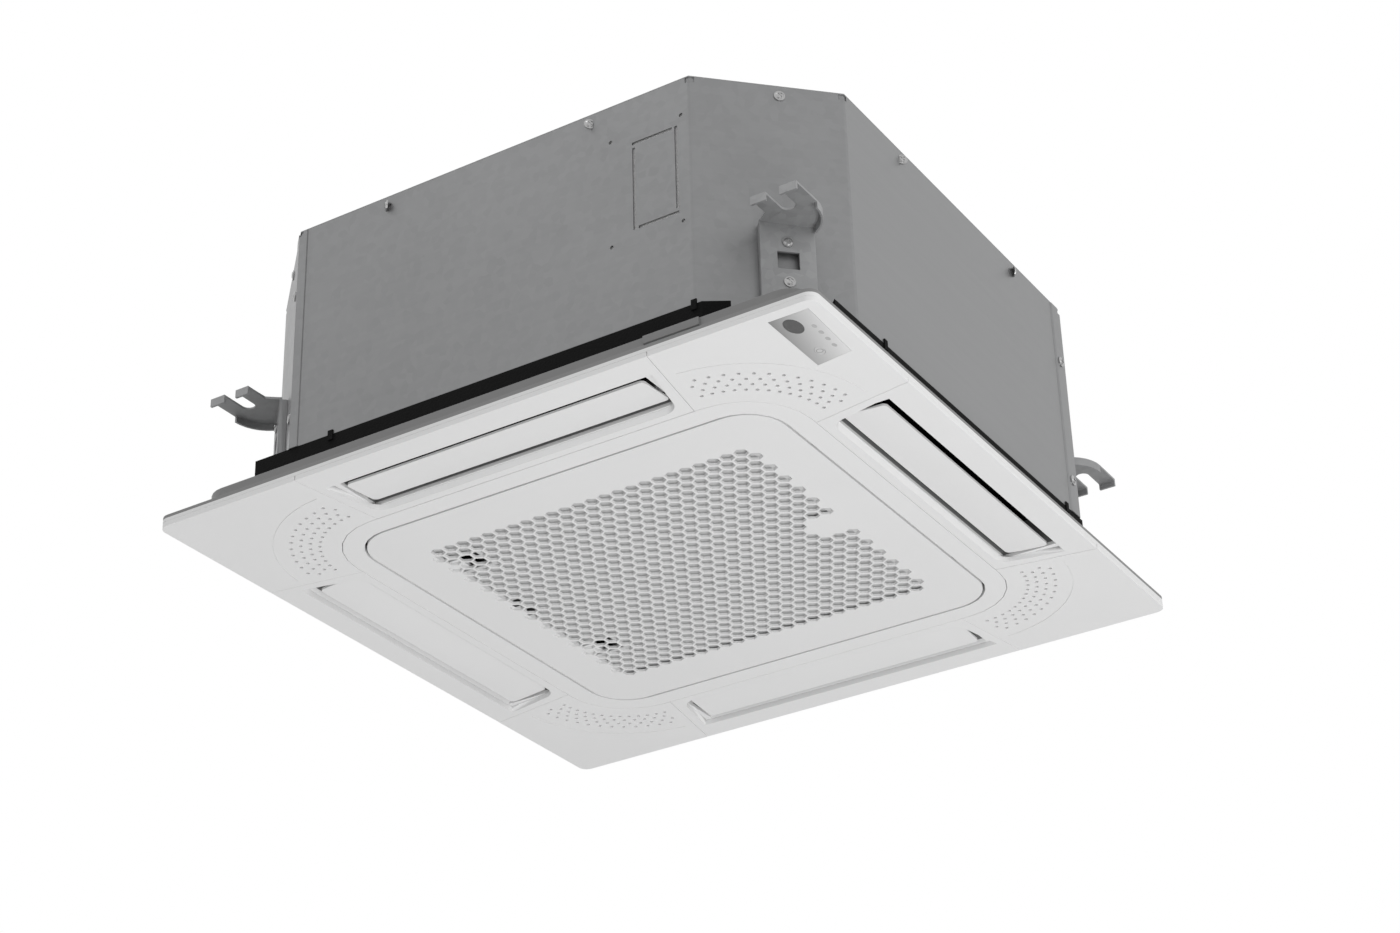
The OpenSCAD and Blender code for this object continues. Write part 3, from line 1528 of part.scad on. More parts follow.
top_plate();
front_casing_sheet();
rear_casing_sheet();
casing_screws();
insulation_liner();
hanger_front_right();
hanger_front_left();
hanger_rear_right();
hanger_rear_left();
drain_pan();
bell_mouth();
coil_fins();
coil_tubes();
coil_end_plates();
gas_pipe();
liquid_pipe();
flare_nuts();
pipe_cover_plate();
drain_pump();
pump_impeller();
float_switch();
float_ring();
drain_port();
motor_bracket();
motor_nuts();
motor_bushes();
fan_motor();
motor_shaft();
turbo_fan();
fan_nut();
electrical_box();
electrical_cover();
control_board();
panel_frame();
panel_bolts();
side_cover_front();
side_cover_right();
side_cover_rear();
side_cover_left();
corner_cover_front_right();
corner_cover_rear_right();
corner_cover_rear_left();
corner_cover_front_left();
flap_front();
flap_right();
flap_rear();
flap_left();
flap_bearings();
flap_motors();
intake_grille();
grille_frame();
grille_hinge_links();
air_filter();
grille_latch_front();
grille_latch_rear();
display_plate();
receiver_window();
indicator_lenses();
push_button();
display_board();
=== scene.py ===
"""Ceiling cassette air conditioner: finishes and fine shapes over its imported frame."""
import json
import math

import bmesh
import bpy
from mathutils import Matrix, Vector


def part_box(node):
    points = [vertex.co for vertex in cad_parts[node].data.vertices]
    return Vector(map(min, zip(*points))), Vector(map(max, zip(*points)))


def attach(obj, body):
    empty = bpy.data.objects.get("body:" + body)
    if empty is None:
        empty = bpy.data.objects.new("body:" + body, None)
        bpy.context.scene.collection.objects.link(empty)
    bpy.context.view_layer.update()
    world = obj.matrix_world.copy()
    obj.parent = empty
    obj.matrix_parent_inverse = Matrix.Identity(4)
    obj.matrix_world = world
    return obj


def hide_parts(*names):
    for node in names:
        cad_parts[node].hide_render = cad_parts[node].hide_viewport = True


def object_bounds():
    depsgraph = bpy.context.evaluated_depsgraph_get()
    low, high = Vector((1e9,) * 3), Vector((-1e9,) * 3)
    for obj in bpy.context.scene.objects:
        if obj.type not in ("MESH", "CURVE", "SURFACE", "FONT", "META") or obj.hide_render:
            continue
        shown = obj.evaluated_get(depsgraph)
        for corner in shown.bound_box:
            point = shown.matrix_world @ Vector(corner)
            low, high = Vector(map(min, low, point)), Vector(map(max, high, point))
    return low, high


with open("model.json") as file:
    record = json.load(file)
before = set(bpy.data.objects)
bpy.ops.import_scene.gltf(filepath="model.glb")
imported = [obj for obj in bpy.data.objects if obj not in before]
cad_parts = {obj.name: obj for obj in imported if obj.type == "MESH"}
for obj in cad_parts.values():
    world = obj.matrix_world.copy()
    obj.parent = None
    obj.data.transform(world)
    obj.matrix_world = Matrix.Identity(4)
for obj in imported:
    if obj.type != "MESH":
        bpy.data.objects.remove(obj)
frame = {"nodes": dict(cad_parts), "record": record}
CAD_NODES = frame["nodes"]
CAD_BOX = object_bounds()
BODY_OF = {node: body for body, nodes in frame["record"]["behaviour"]["bodies"].items() for node in nodes}
SLOT_OF = {part["node"]: part["material_slot"] for part in frame["record"]["subparts"]}

bl_info = {
    "name": "Ceiling Cassette Dresser",
    "version": (1, 0, 0),
    "blender": (4, 5, 0),
    "location": "View3D > Sidebar > Cassette",
    "description": "Finishes, fine shapes, camera and stage of a ceiling cassette air conditioner",
    "category": "Object",
}

MM = 0.001

# Corners of a CAD mesh that are nearer than this are one corner
WELD = 0.002 * MM


# Sizes and colours that a user would change

class CassetteFinish(bpy.types.PropertyGroup):
    cover_colour: bpy.props.FloatVectorProperty(
        name="Covers", description="Colour of the face panel",
        subtype="COLOR", size=3, min=0, max=1, default=(0.80, 0.80, 0.80))
    steel_colour: bpy.props.FloatVectorProperty(
        name="Casing", description="Colour of the galvanised sheet",
        subtype="COLOR", size=3, min=0, max=1, default=(0.25, 0.252, 0.255))
    # Painted shade: the frame above the border takes this darker colour, standing for the shadow behind the
    # covers
    frame_shade_colour: bpy.props.FloatVectorProperty(
        name="Frame", description="Colour of the frame behind the covers",
        subtype="COLOR", size=3, min=0, max=1, default=(0.22, 0.22, 0.22))


class CassetteEdges(bpy.types.PropertyGroup):
    cover: bpy.props.FloatProperty(
        name="Cover edges", description="Rounding of the side covers' and the grille's edges",
        unit="LENGTH", min=0, default=0.5 * MM)
    back: bpy.props.FloatProperty(
        name="Frame edges", description="Rounding of the panel frame's edges",
        unit="LENGTH", min=0, default=0.35 * MM)
    small: bpy.props.FloatProperty(
        name="Small edges", description="Rounding of the corner covers' and the grille frame's edges",
        unit="LENGTH", min=0, default=0.25 * MM)
    latch: bpy.props.FloatProperty(
        name="Latch edges", description="Rounding of the grille latches' edges",
        unit="LENGTH", min=0, default=0.3 * MM)
    hanger: bpy.props.FloatProperty(
        name="Hanger edges", description="Rounding of the suspension brackets' edges",
        unit="LENGTH", min=0, default=0.3 * MM)
    sheet: bpy.props.FloatProperty(
        name="Sheet edges", description="Rounding of the sheet's cut edges",
        unit="LENGTH", min=0, default=0.2 * MM)
    fold: bpy.props.FloatProperty(
        name="Sheet folds", description="Rounding of the casing's upright folds",
        unit="LENGTH", min=0, default=1.6 * MM)
    flap: bpy.props.FloatProperty(
        name="Flap edges", description="Rounding of the louvres' edges",
        unit="LENGTH", min=0, default=0.6 * MM)
    screw_radius: bpy.props.FloatProperty(
        name="Screw head", description="Radius of a casing screw's head",
        unit="LENGTH", min=0, default=4.6 * MM)
    screw_height: bpy.props.FloatProperty(
        name="Screw height", description="Height of a casing screw's head",
        unit="LENGTH", min=0, default=2.0 * MM)


class CassetteGrille(bpy.types.PropertyGroup):
    pitch: bpy.props.FloatProperty(
        name="Pitch", description="Distance from one hexagon to the next in a row",
        unit="LENGTH", min=0.001, default=12.9 * MM)
    wall: bpy.props.FloatProperty(
        name="Wall", description="Width of the web between two hexagons",
        unit="LENGTH", min=0, default=1.8 * MM)
    rows: bpy.props.IntProperty(
        name="Rows", description="Rows of hexagons", min=1, default=27)
    columns: bpy.props.IntProperty(
        name="Columns", description="Hexagons in the longest row", min=1, default=25)
    plain_cells: bpy.props.IntProperty(
        name="Plain cells", description="Cells left out of the middle row", min=0, default=3)
    draft: bpy.props.FloatProperty(
        name="Draft", description="Flare of each hexagon at the face",
        unit="LENGTH", min=0, default=0.3 * MM)
    corner: bpy.props.FloatProperty(
        name="Corner", description="Corner radius of the grille's face",
        unit="LENGTH", min=0, default=37 * MM)


class CassetteStage(bpy.types.PropertyGroup):
    floor_drop: bpy.props.FloatProperty(
        name="Floor", description="Height of the face above the room's floor",
        unit="LENGTH", min=1.2, default=2.4)
    world_level: bpy.props.FloatProperty(
        name="Room light", description="Strength of the light from all sides",
        min=0, default=0.6)


# Node trees and their maths

class Signal:
    """A socket's value, which Python's operators combine through Math nodes"""

    def __init__(self, wiring, socket):
        self.wiring, self.socket = wiring, socket

    def _with(self, operation, other=0.0, swapped=False):
        first, second = (other, self) if swapped else (self, other)
        return self.wiring.node("ShaderNodeMath", {"operation": operation}, {0: first, 1: second})

    def __add__(self, other):
        return self._with("ADD", other)

    def __radd__(self, other):
        return self._with("ADD", other, swapped=True)

    def __sub__(self, other):
        return self._with("SUBTRACT", other)

    def __rsub__(self, other):
        return self._with("SUBTRACT", other, swapped=True)

    def __mul__(self, other):
        return self._with("MULTIPLY", other)

    def __rmul__(self, other):
        return self._with("MULTIPLY", other, swapped=True)

    def __truediv__(self, other):
        return self._with("DIVIDE", other)

    def __rtruediv__(self, other):
        return self._with("DIVIDE", other, swapped=True)

    def __mod__(self, other):
        return self._with("MODULO", other)

    def __rmod__(self, other):
        return self._with("MODULO", other, swapped=True)

    def __abs__(self):
        return self._with("ABSOLUTE")

    def __floor__(self):
        return self._with("FLOOR")

    def sine(self):
        return self._with("SINE")

    def larger(self, other):
        return self._with("MAXIMUM", other)

    def above(self, level):
        return self._with("GREATER_THAN", level)

    def below(self, level):
        return self._with("LESS_THAN", level)


class Wiring:
    """A node tree, which hands on the outputs of its nodes as Signals"""

    def __init__(self, tree):
        self.tree = tree

    def node(self, kind, settings=None, inputs=None, output=0):
        """A node with its settings, then the values or links of its sockets; a list goes into one socket"""
        made = self.tree.nodes.new(kind)
        for key, value in (settings or {}).items():
            setattr(made, key, value)
        for key, value in (inputs or {}).items():
            for one in value if isinstance(value, list) else [value]:
                if isinstance(one, Signal):
                    self.tree.links.new(one.socket, made.inputs[key])
                else:
                    made.inputs[key].default_value = one
        return Signal(self, made.outputs[output]) if made.outputs else None


# Finishes

WHITE = (1, 1, 1, 1)
PLASTIC_IOR = 1.5

# How often a pattern repeats in a metre
CLOUD_SCALE = 9.0
SHEEN_SCALE = 60.0
SPARK_SCALE = 2600.0
LACQUER_SCALE = 1500.0

# The filter's threads, and its clip pockets, painted near-black as shade, from the latch side and along it
NET_PITCH = 1.1 * MM
POCKET_REACH = 9 * MM
POCKET_HALF = 4.5 * MM
POCKET_YS = (-24.7 * MM, -4.3 * MM)

# Height at which the panel frame turns from the covers' colour to a darker one, painted shade that stands for
# the shadow on the upstand behind the covers
FRAME_SHADE_BORDER = 7.6 * MM


def grey(level, warm=0.0):
    """A grey colour, with a little red for blue where it is warm"""
    return (level * (1 + warm), level, level * (1 - warm), 1)


def shade(colour, factor):
    """The colour made darker or lighter"""
    return (*[min(1.0, c * factor) for c in colour[:3]], 1)


class Finish(Wiring):
    """A material with one Principled shader, fed from Object coordinates"""

    def __init__(self, name, **settings):
        self.material = bpy.data.materials.new(name)
        self.material.use_nodes = True
        super().__init__(self.material.node_tree)
        self.shader = self.tree.nodes["Principled BSDF"]
        for key, value in settings.items():
            self.shader.inputs[key.replace("_", " ")].default_value = value
        self.place = self.node("ShaderNodeTexCoord", output="Object")

    def axis(self, letter):
        """Where a point lies along X, Y or Z"""
        return self.node("ShaderNodeSeparateXYZ", inputs={"Vector": self.place}, output=letter)

    def noise(self, scale, detail=2.0, rough=0.5, stretch=None):
        place = self.place
        if stretch:
            place = self.node("ShaderNodeMapping", inputs={"Vector": place, "Scale": stretch})
        return self.node("ShaderNodeTexNoise", output="Fac",
                         inputs={"Vector": place, "Scale": scale, "Detail": detail, "Roughness": rough})

    def cells(self, scale, feature="F1", output="Distance"):
        return self.node("ShaderNodeTexVoronoi", {"feature": feature},
                         {"Vector": self.place, "Scale": scale}, output)

    def span(self, value, low, high):
        """value from 0 at low to 1 at high"""
        return self.node("ShaderNodeMapRange", {"clamp": True},
                         {"Value": value, "From Min": low, "From Max": high})

    def blend(self, share, first, second):
        """Colour that goes from first, where share is 0, to second, where it is 1"""
        return self.node("ShaderNodeMix", {"data_type": "RGBA"}, {"Factor": share, 6: first, 7: second}, 2)

    def mottled(self, colour, swing=0.02):
        """A colour that drifts by a small share of itself, up and down"""
        cloud = self.noise(CLOUD_SCALE, detail=3.0)
        return self.blend(cloud, shade(colour, 1 - swing), shade(colour, 1 + swing))

    def feed(self, **sockets):
        """Links what changes over the surface to the shader's sockets"""
        for key, value in sockets.items():
            self.tree.links.new(value.socket, self.shader.inputs[key.replace("_", " ")])

    def bump(self, height, distance, strength):
        self.feed(Normal=self.node("ShaderNodeBump", output="Normal", inputs={
            "Height": height, "Distance": distance, "Strength": strength}))

    def spark_eroded(self, roughness, swing=0.10):
        """The fine grain that plastic takes from its mould"""
        self.feed(Roughness=self.noise(SHEEN_SCALE) * swing + (roughness - swing / 2))
        self.bump(self.noise(SPARK_SCALE, rough=0.6), 0.015 * MM, 0.35)

    def lacquered(self):
        """The metal flakes of a silver lacquer, which the surface shows as a faint relief"""
        flakes = self.noise(LACQUER_SCALE, rough=0.7)
        self.bump(flakes, 0.01 * MM, 0.3)
        return flakes


def moulded(name, colour, roughness=0.42, coat=0.0):
    """Injection-moulded plastic, with the faint cloud of the tool"""
    m = Finish(name, IOR=PLASTIC_IOR, Coat_Weight=coat, Coat_Roughness=0.25)
    m.feed(Base_Color=m.mottled(colour))
    m.spark_eroded(roughness)
    return m.material


def two_tone_painted_shade(name, low, high, border, blur=0.1 * MM):
    """Moulded plastic whose face side has the covers' colour and whose back is darker: painted shade for the
    upstand in shadow behind the covers
    """
    m = Finish(name, IOR=PLASTIC_IOR)
    step = m.span(m.axis("Z"), border - blur, border + blur)
    # Painted shade: above the border the frame is darker than the covers
    m.feed(Base_Color=m.blend(step, m.mottled(low), m.mottled(high, 0.03)))
    m.spark_eroded(roughness=0.5)
    return m.material


def galvanised(name, colour, roughness=0.40, metal=0.6, spangle=0.10, cloudy=0.16):
    """Hot-dip galvanised sheet: soft spangle, cloudy handling marks and streaks from the rolls"""
    streaky = 0.08
    spangle_gloss, cloud_gloss = 0.10, 0.12
    spangle_scale, cloud_scale, streak_scale, relief_scale = 150.0, 7.0, 3.0, 420.0
    across_the_rolls = (2.0, 2.0, 60.0)
    m = Finish(name, Metallic=metal)
    flake = m.node("ShaderNodeRGBToBW", inputs={"Color": m.cells(spangle_scale, output="Color")})
    cloud = m.noise(cloud_scale, detail=4.0, rough=0.55)
    streak = m.noise(streak_scale, detail=3.0, rough=0.6, stretch=across_the_rolls)
    level = flake * spangle + cloud * cloudy + streak * streaky
    level = level - (spangle + cloudy + streaky) * 0.5 + 1.0
    m.feed(Base_Color=m.node("ShaderNodeVectorMath", {"operation": "SCALE"}, {0: colour[:3], "Scale": level}))
    gloss = flake * spangle_gloss + cloud * cloud_gloss
    m.feed(Roughness=gloss + (roughness - (spangle_gloss + cloud_gloss) / 2))
    m.bump(m.noise(relief_scale, detail=3.0, rough=0.6), 0.03 * MM, 0.25)
    return m.material


def foam(name, colour, bead=330.0):
    """Expanded foam: pressed beads with fine creases between them, the creases darkened as painted shade"""
    m = Finish(name, Roughness=0.85, Specular_IOR_Level=0.15)
    raised = m.span(m.cells(bead, "DISTANCE_TO_EDGE"), 0.0, 0.12)
    # Painted shade: the creases between the beads are darker than the beads
    m.feed(Base_Color=m.blend(raised, shade(colour, 0.82), colour))
    m.bump(raised, 0.25 * MM, 0.5)
    return m.material


def plated(name, colour, roughness=0.24, scale=260.0):
    """Bright zinc plate with fine turning marks"""
    m = Finish(name, Metallic=1.0)
    tone = m.noise(scale, detail=3.0)
    m.feed(Base_Color=m.blend(tone, shade(colour, 0.82), shade(colour, 1.08)))
    m.feed(Roughness=tone * 0.16 + roughness)
    return m.material


def bare_metal(name, colour, roughness=0.3, scale=160.0):
    """Drawn or turned metal with fine marks of its working"""
    m = Finish(name, Metallic=1.0)
    tone = m.noise(scale, detail=4.0)
    m.feed(Base_Color=m.blend(tone, shade(colour, 0.8), shade(colour, 1.1)))
    m.feed(Roughness=m.noise(40.0) * 0.2 + roughness)
    m.bump(tone, 0.04 * MM, 0.3)
    return m.material


def filter_net(name, colour, low):
    """Fine woven net, pale threads over darker gaps, with its two open clip pockets at the latch side painted
    near-black: painted shade for the dark inside seen through them
    """
    m = Finish(name, Roughness=0.7)
    turn = 2 * math.pi / NET_PITCH
    warp, weft = (m.span((m.axis(letter) * turn).sine(), 0.1, 0.6) for letter in "XY")
    net = warp.larger(weft)
    side = 1 - m.axis("X").above(low.x + POCKET_REACH)
    near, far = ((1 - abs(m.axis("Y") - y).above(POCKET_HALF)) * side for y in POCKET_YS)
    # Painted shade: the pockets are painted near-black where the interior is seen through them
    m.feed(Base_Color=m.blend(near + far, m.blend(net, shade(colour, 0.7), colour), grey(0.003)))
    m.bump(net, 0.2 * MM, 0.5)
    return m.material


def silver_painted_shading(name, dark, light, low, high):
    """Silver lacquer that runs from dark to light across and along the display: painted shade and highlight
    for the light across its face
    """
    m = Finish(name, Metallic=0.25, Coat_Weight=0.3, Coat_Roughness=0.1)
    # Painted shade and highlight: darker towards low X and Y, lighter towards high X and Y
    across = m.span(m.axis("X"), low.x, high.x) * 0.7 + m.span(m.axis("Y"), low.y, high.y) * 0.3
    m.feed(Base_Color=m.blend(across, dark, light), Roughness=m.lacquered() * 0.12 + 0.28)
    return m.material


def ringed_button(name, colour, ring, low, high):
    """Silver push button with a darker printed ring"""
    m = Finish(name, Metallic=0.2, Roughness=0.3)
    middle = (low + high) / 2
    radius = (high.x - low.x) / 2
    flat = m.node("ShaderNodeCombineXYZ", inputs={"X": m.axis("X"), "Y": m.axis("Y")})
    away = m.node("ShaderNodeVectorMath", {"operation": "DISTANCE"},
                  {0: flat, 1: (middle.x, middle.y, 0)}, "Value")

    # Where the ring begins and ends, each with a soft edge, as shares of the button's radius
    inside, outside = (0.58, 0.66), (0.80, 0.88)
    band = m.span(away, *(s * radius for s in inside)) - m.span(away, *(s * radius for s in outside))
    m.feed(Base_Color=m.blend(band, colour, ring))
    m.lacquered()
    return m.material


def smoked_window(name, dots=grey(0.16), between=grey(0.055), scale=900.0):
    """Dark tinted lens with the fine dot screen behind it"""
    m = Finish(name, Coat_Weight=0.6, Coat_Roughness=0.05)
    gap = m.span(m.cells(scale), 0.25, 0.35)
    m.feed(Base_Color=m.blend(gap, dots, between), Roughness=gap * 0.1 + 0.2)
    return m.material


def circuit(name, track=(0.16, 0.42, 0.24, 1), board=(0.03, 0.16, 0.08, 1), scale=260.0):
    """Lacquered board with copper tracks under the lacquer"""
    m = Finish(name, Roughness=0.4)
    between = m.span(m.cells(scale, "DISTANCE_TO_EDGE"), 0.04, 0.09)
    m.feed(Base_Color=m.blend(between, track, board))
    return m.material


FINISHES = {}

# Nodes whose finish differs from the others in their material slot
OWN_FINISH = {"indicator_lenses": "frosted_lens", "push_button": "ringed_button"}


def make_finishes():
    """Makes each finish, in the colours of the settings"""
    look = bpy.context.scene.cassette_finish
    cover, steel, back = ((*colour, 1) for colour in (
        look.cover_colour, look.steel_colour, look.frame_shade_colour))
    FINISHES.update({
        "cover_white": moulded("cover_plastic", cover),
        "grille_white": moulded("grille_plastic", shade(cover, 0.985), 0.45),
        "frame_grey": two_tone_painted_shade("frame_plastic", cover, back, FRAME_SHADE_BORDER),
        "galvanised_steel": galvanised("galvanised_sheet", steel),
        "bracket_steel": galvanised("bracket_sheet", shade(steel, 1.25), 0.5, 0.35, 0.2, 0.2),
        "foam_black": foam("black_foam", grey(0.002)),
        "foam_white": foam("white_foam", grey(0.80)),
        "zinc": plated("zinc_plate", grey(0.42)),
        "fan_plastic": moulded("fan_plastic", grey(0.74, warm=0.01), 0.5),
        "fin_aluminium": bare_metal("fin_aluminium", grey(0.72), scale=900.0),
        "copper": bare_metal("copper_tube", (0.72, 0.33, 0.20, 1)),
        "brass": bare_metal("turned_brass", (0.70, 0.52, 0.22, 1), 0.22),
        "dark_plastic": moulded("dark_plastic", grey(0.05), 0.45),
        "float_blue": moulded("float_plastic", (0.05, 0.16, 0.36, 1), 0.4),
        "rubber": moulded("soft_rubber", grey(0.02), 0.75),
        "motor_enamel": moulded("motor_enamel", grey(0.045), 0.35, coat=0.4),
        "circuit_board": circuit("lacquered_board"),
        "filter_mesh": filter_net("filter_net", grey(0.68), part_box("air_filter")[0]),
        "silver_plastic": silver_painted_shading("silver_lacquer", grey(0.27), grey(0.92), *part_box("display_plate")),
        "frosted_lens": moulded("frosted_lens", grey(0.46), 0.3, coat=0.3),
        "ringed_button": ringed_button("ringed_button", grey(0.62), grey(0.36), *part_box("push_button")),
        "dark_lens": smoked_window("smoked_window"),
    })


def finish_of(node):
    """The finish of a CAD node and of the piece that stands for it"""
    if node.startswith("hanger_"):
        return FINISHES["bracket_steel"]
    return FINISHES[OWN_FINISH.get(node, SLOT_OF[node])]


# Pieces made from a node's own shape

# Edges flatter than this aren't rounded
CREASE_ANGLE = math.radians(28)

# What makes an upright edge one of the casing's folds
FOLD_ANGLE = math.radians(60)
FOLD_LENGTH = 150 * MM

# How many roundings wide the faces beside a rounded edge are at least
ROOM = 2.2


def put(name, mesh, material, body, slot, *nodes):
    """Makes the piece, gives it its finish, ties it to its body and hides the nodes that it stands for"""
    piece = bpy.data.objects.new(name, mesh)
    bpy.context.scene.collection.objects.link(piece)
    mesh.materials.clear()
    mesh.materials.append(material)
    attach(piece, body)
    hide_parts(*nodes)
    return piece


def welded(mesh):
    """A bmesh of a CAD mesh, whose loose triangles are joined at their corners"""
    work = bmesh.new()
    work.from_mesh(mesh)
    bmesh.ops.remove_doubles(work, verts=work.verts, dist=WELD)
    return work


def merged_copy(node, whole):
    """A copy of a node's mesh with its corners joined and, where asked, its flat areas made whole"""
    mesh = CAD_NODES[node].data.copy()
    work = welded(mesh)
    if whole:
        bmesh.ops.dissolve_limit(work, angle_limit=math.radians(0.5), verts=work.verts, edges=work.edges)
    work.to_mesh(mesh)
    work.free()
    for layer in list(mesh.uv_layers):
        mesh.uv_layers.remove(layer)
    mesh.shade_smooth()
    return mesh


def edge_angle(edge):
    """The angle between an edge's two faces, or 0 where it hasn't two"""
    return edge.calc_face_angle(0.0) if len(edge.link_faces) == 2 else 0.0


def is_upright_fold(edge):
    """Whether the edge is one of the casing's long upright folds"""
    rise = abs(edge.verts[1].co.z - edge.verts[0].co.z)
    return rise > FOLD_LENGTH and edge_angle(edge) < FOLD_ANGLE


def softened(node, name, width, fold=0.0, whole=True, shortest=0.0):
    """A node's shape with its edges rounded, its long upright folds more and its shortest edges not"""
    mesh = merged_copy(node, whole)
    work = bmesh.new()
    work.from_mesh(mesh)
    weight = work.edges.layers.float.new("bevel_weight_edge")
    widest = max(width, fold)
    room = {v: min(e.calc_length() for e in v.link_edges) for v in work.verts if v.link_edges}
    for edge in work.edges:
        if edge_angle(edge) < CREASE_ANGLE:
            continue
        if fold and is_upright_fold(edge):
            edge[weight] = 1.0
        elif min(room[v] for v in edge.verts) > max(shortest, ROOM * width):
            edge[weight] = width / widest
        else:
            edge.smooth = False
    work.to_mesh(mesh)
    work.free()
    piece = put(name, mesh, finish_of(node), BODY_OF[node], SLOT_OF[node], node)
    bevel = piece.modifiers.new("edges", "BEVEL")
    bevel.limit_method = "WEIGHT"
    bevel.width = widest
    bevel.segments = 2
    bevel.use_clamp_overlap = False
    flat = piece.modifiers.new("flat_faces", "WEIGHTED_NORMAL")
    flat.mode = "FACE_AREA"
    flat.weight = 100
    flat.keep_sharp = True
    return piece


# Geometry Nodes

class Recipe(Wiring):
    """A Geometry Nodes tree whose sizes are named inputs"""

    def __init__(self, name, sizes):
        super().__init__(bpy.data.node_groups.new(name, "GeometryNodeTree"))
        face = self.tree.interface
        face.new_socket("Geometry", in_out="INPUT", socket_type="NodeSocketGeometry")
        face.new_socket("Geometry", in_out="OUTPUT", socket_type="NodeSocketGeometry")
        self.values = {}
        for key, value in sizes.items():
            kind = ("NodeSocketMaterial" if isinstance(value, bpy.types.Material) else
                    "NodeSocketInt" if isinstance(value, int) else "NodeSocketFloat")
            self.values[face.new_socket(key, in_out="INPUT", socket_type=kind).identifier] = value
        self.inward = self.tree.nodes.new("NodeGroupInput")
        self.outward = self.tree.nodes.new("NodeGroupOutput")

    def size(self, key):
        """One of the tree's named inputs"""
        return Signal(self, self.inward.outputs[key])

    def raised(self, geometry, height):
        """The geometry moved up by a height"""
        way = self.node("ShaderNodeCombineXYZ", inputs={"Z": height})
        return self.node("GeometryNodeTransform", inputs={"Geometry": geometry, "Translation": way})

    def close(self, geometry):
        """Ends the tree in one plain mesh with its material"""
        whole = self.node("GeometryNodeRealizeInstances", inputs={"Geometry": geometry})
        dressed = self.node("GeometryNodeSetMaterial", inputs={
            "Geometry": whole, "Material": self.size("Material")})
        self.tree.links.new(dressed.socket, self.outward.inputs["Geometry"])

    def mesh_from(self, seed_mesh):
        """Runs the tree on a mesh and gives the plain mesh that comes of it"""
        carrier = bpy.data.objects.new("carrier", seed_mesh)
        bpy.context.scene.collection.objects.link(carrier)
        modifier = carrier.modifiers.new("recipe", "NODES")
        modifier.node_group = self.tree
        for identifier, value in self.values.items():
            modifier[identifier] = value
        bpy.context.view_layer.update()
        result = bpy.data.meshes.new_from_object(carrier.evaluated_get(bpy.context.evaluated_depsgraph_get()))
        carrier.modifiers.remove(modifier)
        bpy.data.objects.remove(carrier)
        return result


def points_mesh(places, directions):
    """A mesh of loose points, each with the direction it faces"""
    mesh = bpy.data.meshes.new("places")
    mesh.from_pydata([tuple(p) for p in places], [], [])
    out = mesh.attributes.new("out", "FLOAT_VECTOR", "POINT")
    out.data.foreach_set("vector", [c for d in directions for c in d])
    return mesh


def solids_of(node):
    """The corners of each separate solid in a node"""
    work = welded(CAD_NODES[node].data)
    seen, groups = set(), []
    for start in work.verts:
        if start in seen:
            continue
        stack, group = [start], []
        seen.add(start)
        while stack:
            vert = stack.pop()
            group.append(vert.co.copy())
            for edge in vert.link_edges:
                other = edge.other_vert(vert)
                if other not in seen:
                    seen.add(other)
                    stack.append(other)
        groups.append(group)
    work.free()
    return groups


def screw_recipe(radius, height, material):
    """Pan-head screws with a washer rim and a cross recess"""
    r = Recipe("pan_head_screws", {
        "Head Radius": radius, "Head Height": height, "Recess Width": radius * 0.22, "Sides": 28,
        "Material": material})
    head_radius, head_height, recess, sides = (
        r.size(key) for key in ("Head Radius", "Head Height", "Recess Width", "Sides"))

    # Shares of the head's radius, of the rim's height and of the head's height
    crown_top, crown_foot, crown_lift, recess_lift = 0.52, 0.82, 0.4, 0.98
    half = head_height * 0.5
    rim = r.node("GeometryNodeMeshCylinder", inputs={"Vertices": sides, "Radius": head_radius, "Depth": half})
    crown = r.raised(r.node("GeometryNodeMeshCone", inputs={
        "Vertices": sides, "Radius Top": head_radius * crown_top, "Radius Bottom": head_radius * crown_foot,
        "Depth": half}), half * crown_lift)
    bars = []
    for wide, long in ((recess, head_radius), (head_radius, recess)):
        size = r.node("ShaderNodeCombineXYZ", inputs={"X": wide, "Y": long, "Z": head_height})
        bar = r.node("GeometryNodeMeshCube", inputs={"Size": size})
        bars.append(r.raised(bar, head_height * recess_lift))
    whole = r.node("GeometryNodeMeshBoolean", {"operation": "UNION", "solver": "MANIFOLD"},
                   {"Mesh 2": [rim, crown]})
    head = r.node("GeometryNodeMeshBoolean", {"operation": "DIFFERENCE", "solver": "MANIFOLD"},
                  {"Mesh 1": whole, "Mesh 2": bars})
    out = r.node("GeometryNodeInputNamedAttribute", {"data_type": "FLOAT_VECTOR"}, {"Name": "out"})
    turn = r.node("FunctionNodeAlignRotationToVector", {"axis": "Z"}, {"Vector": out})
    spots = r.node("GeometryNodeMeshToPoints", inputs={"Mesh": r.size("Geometry")})
    r.close(r.node("GeometryNodeInstanceOnPoints", inputs={
        "Points": spots, "Instance": head, "Rotation": turn}))
    return r


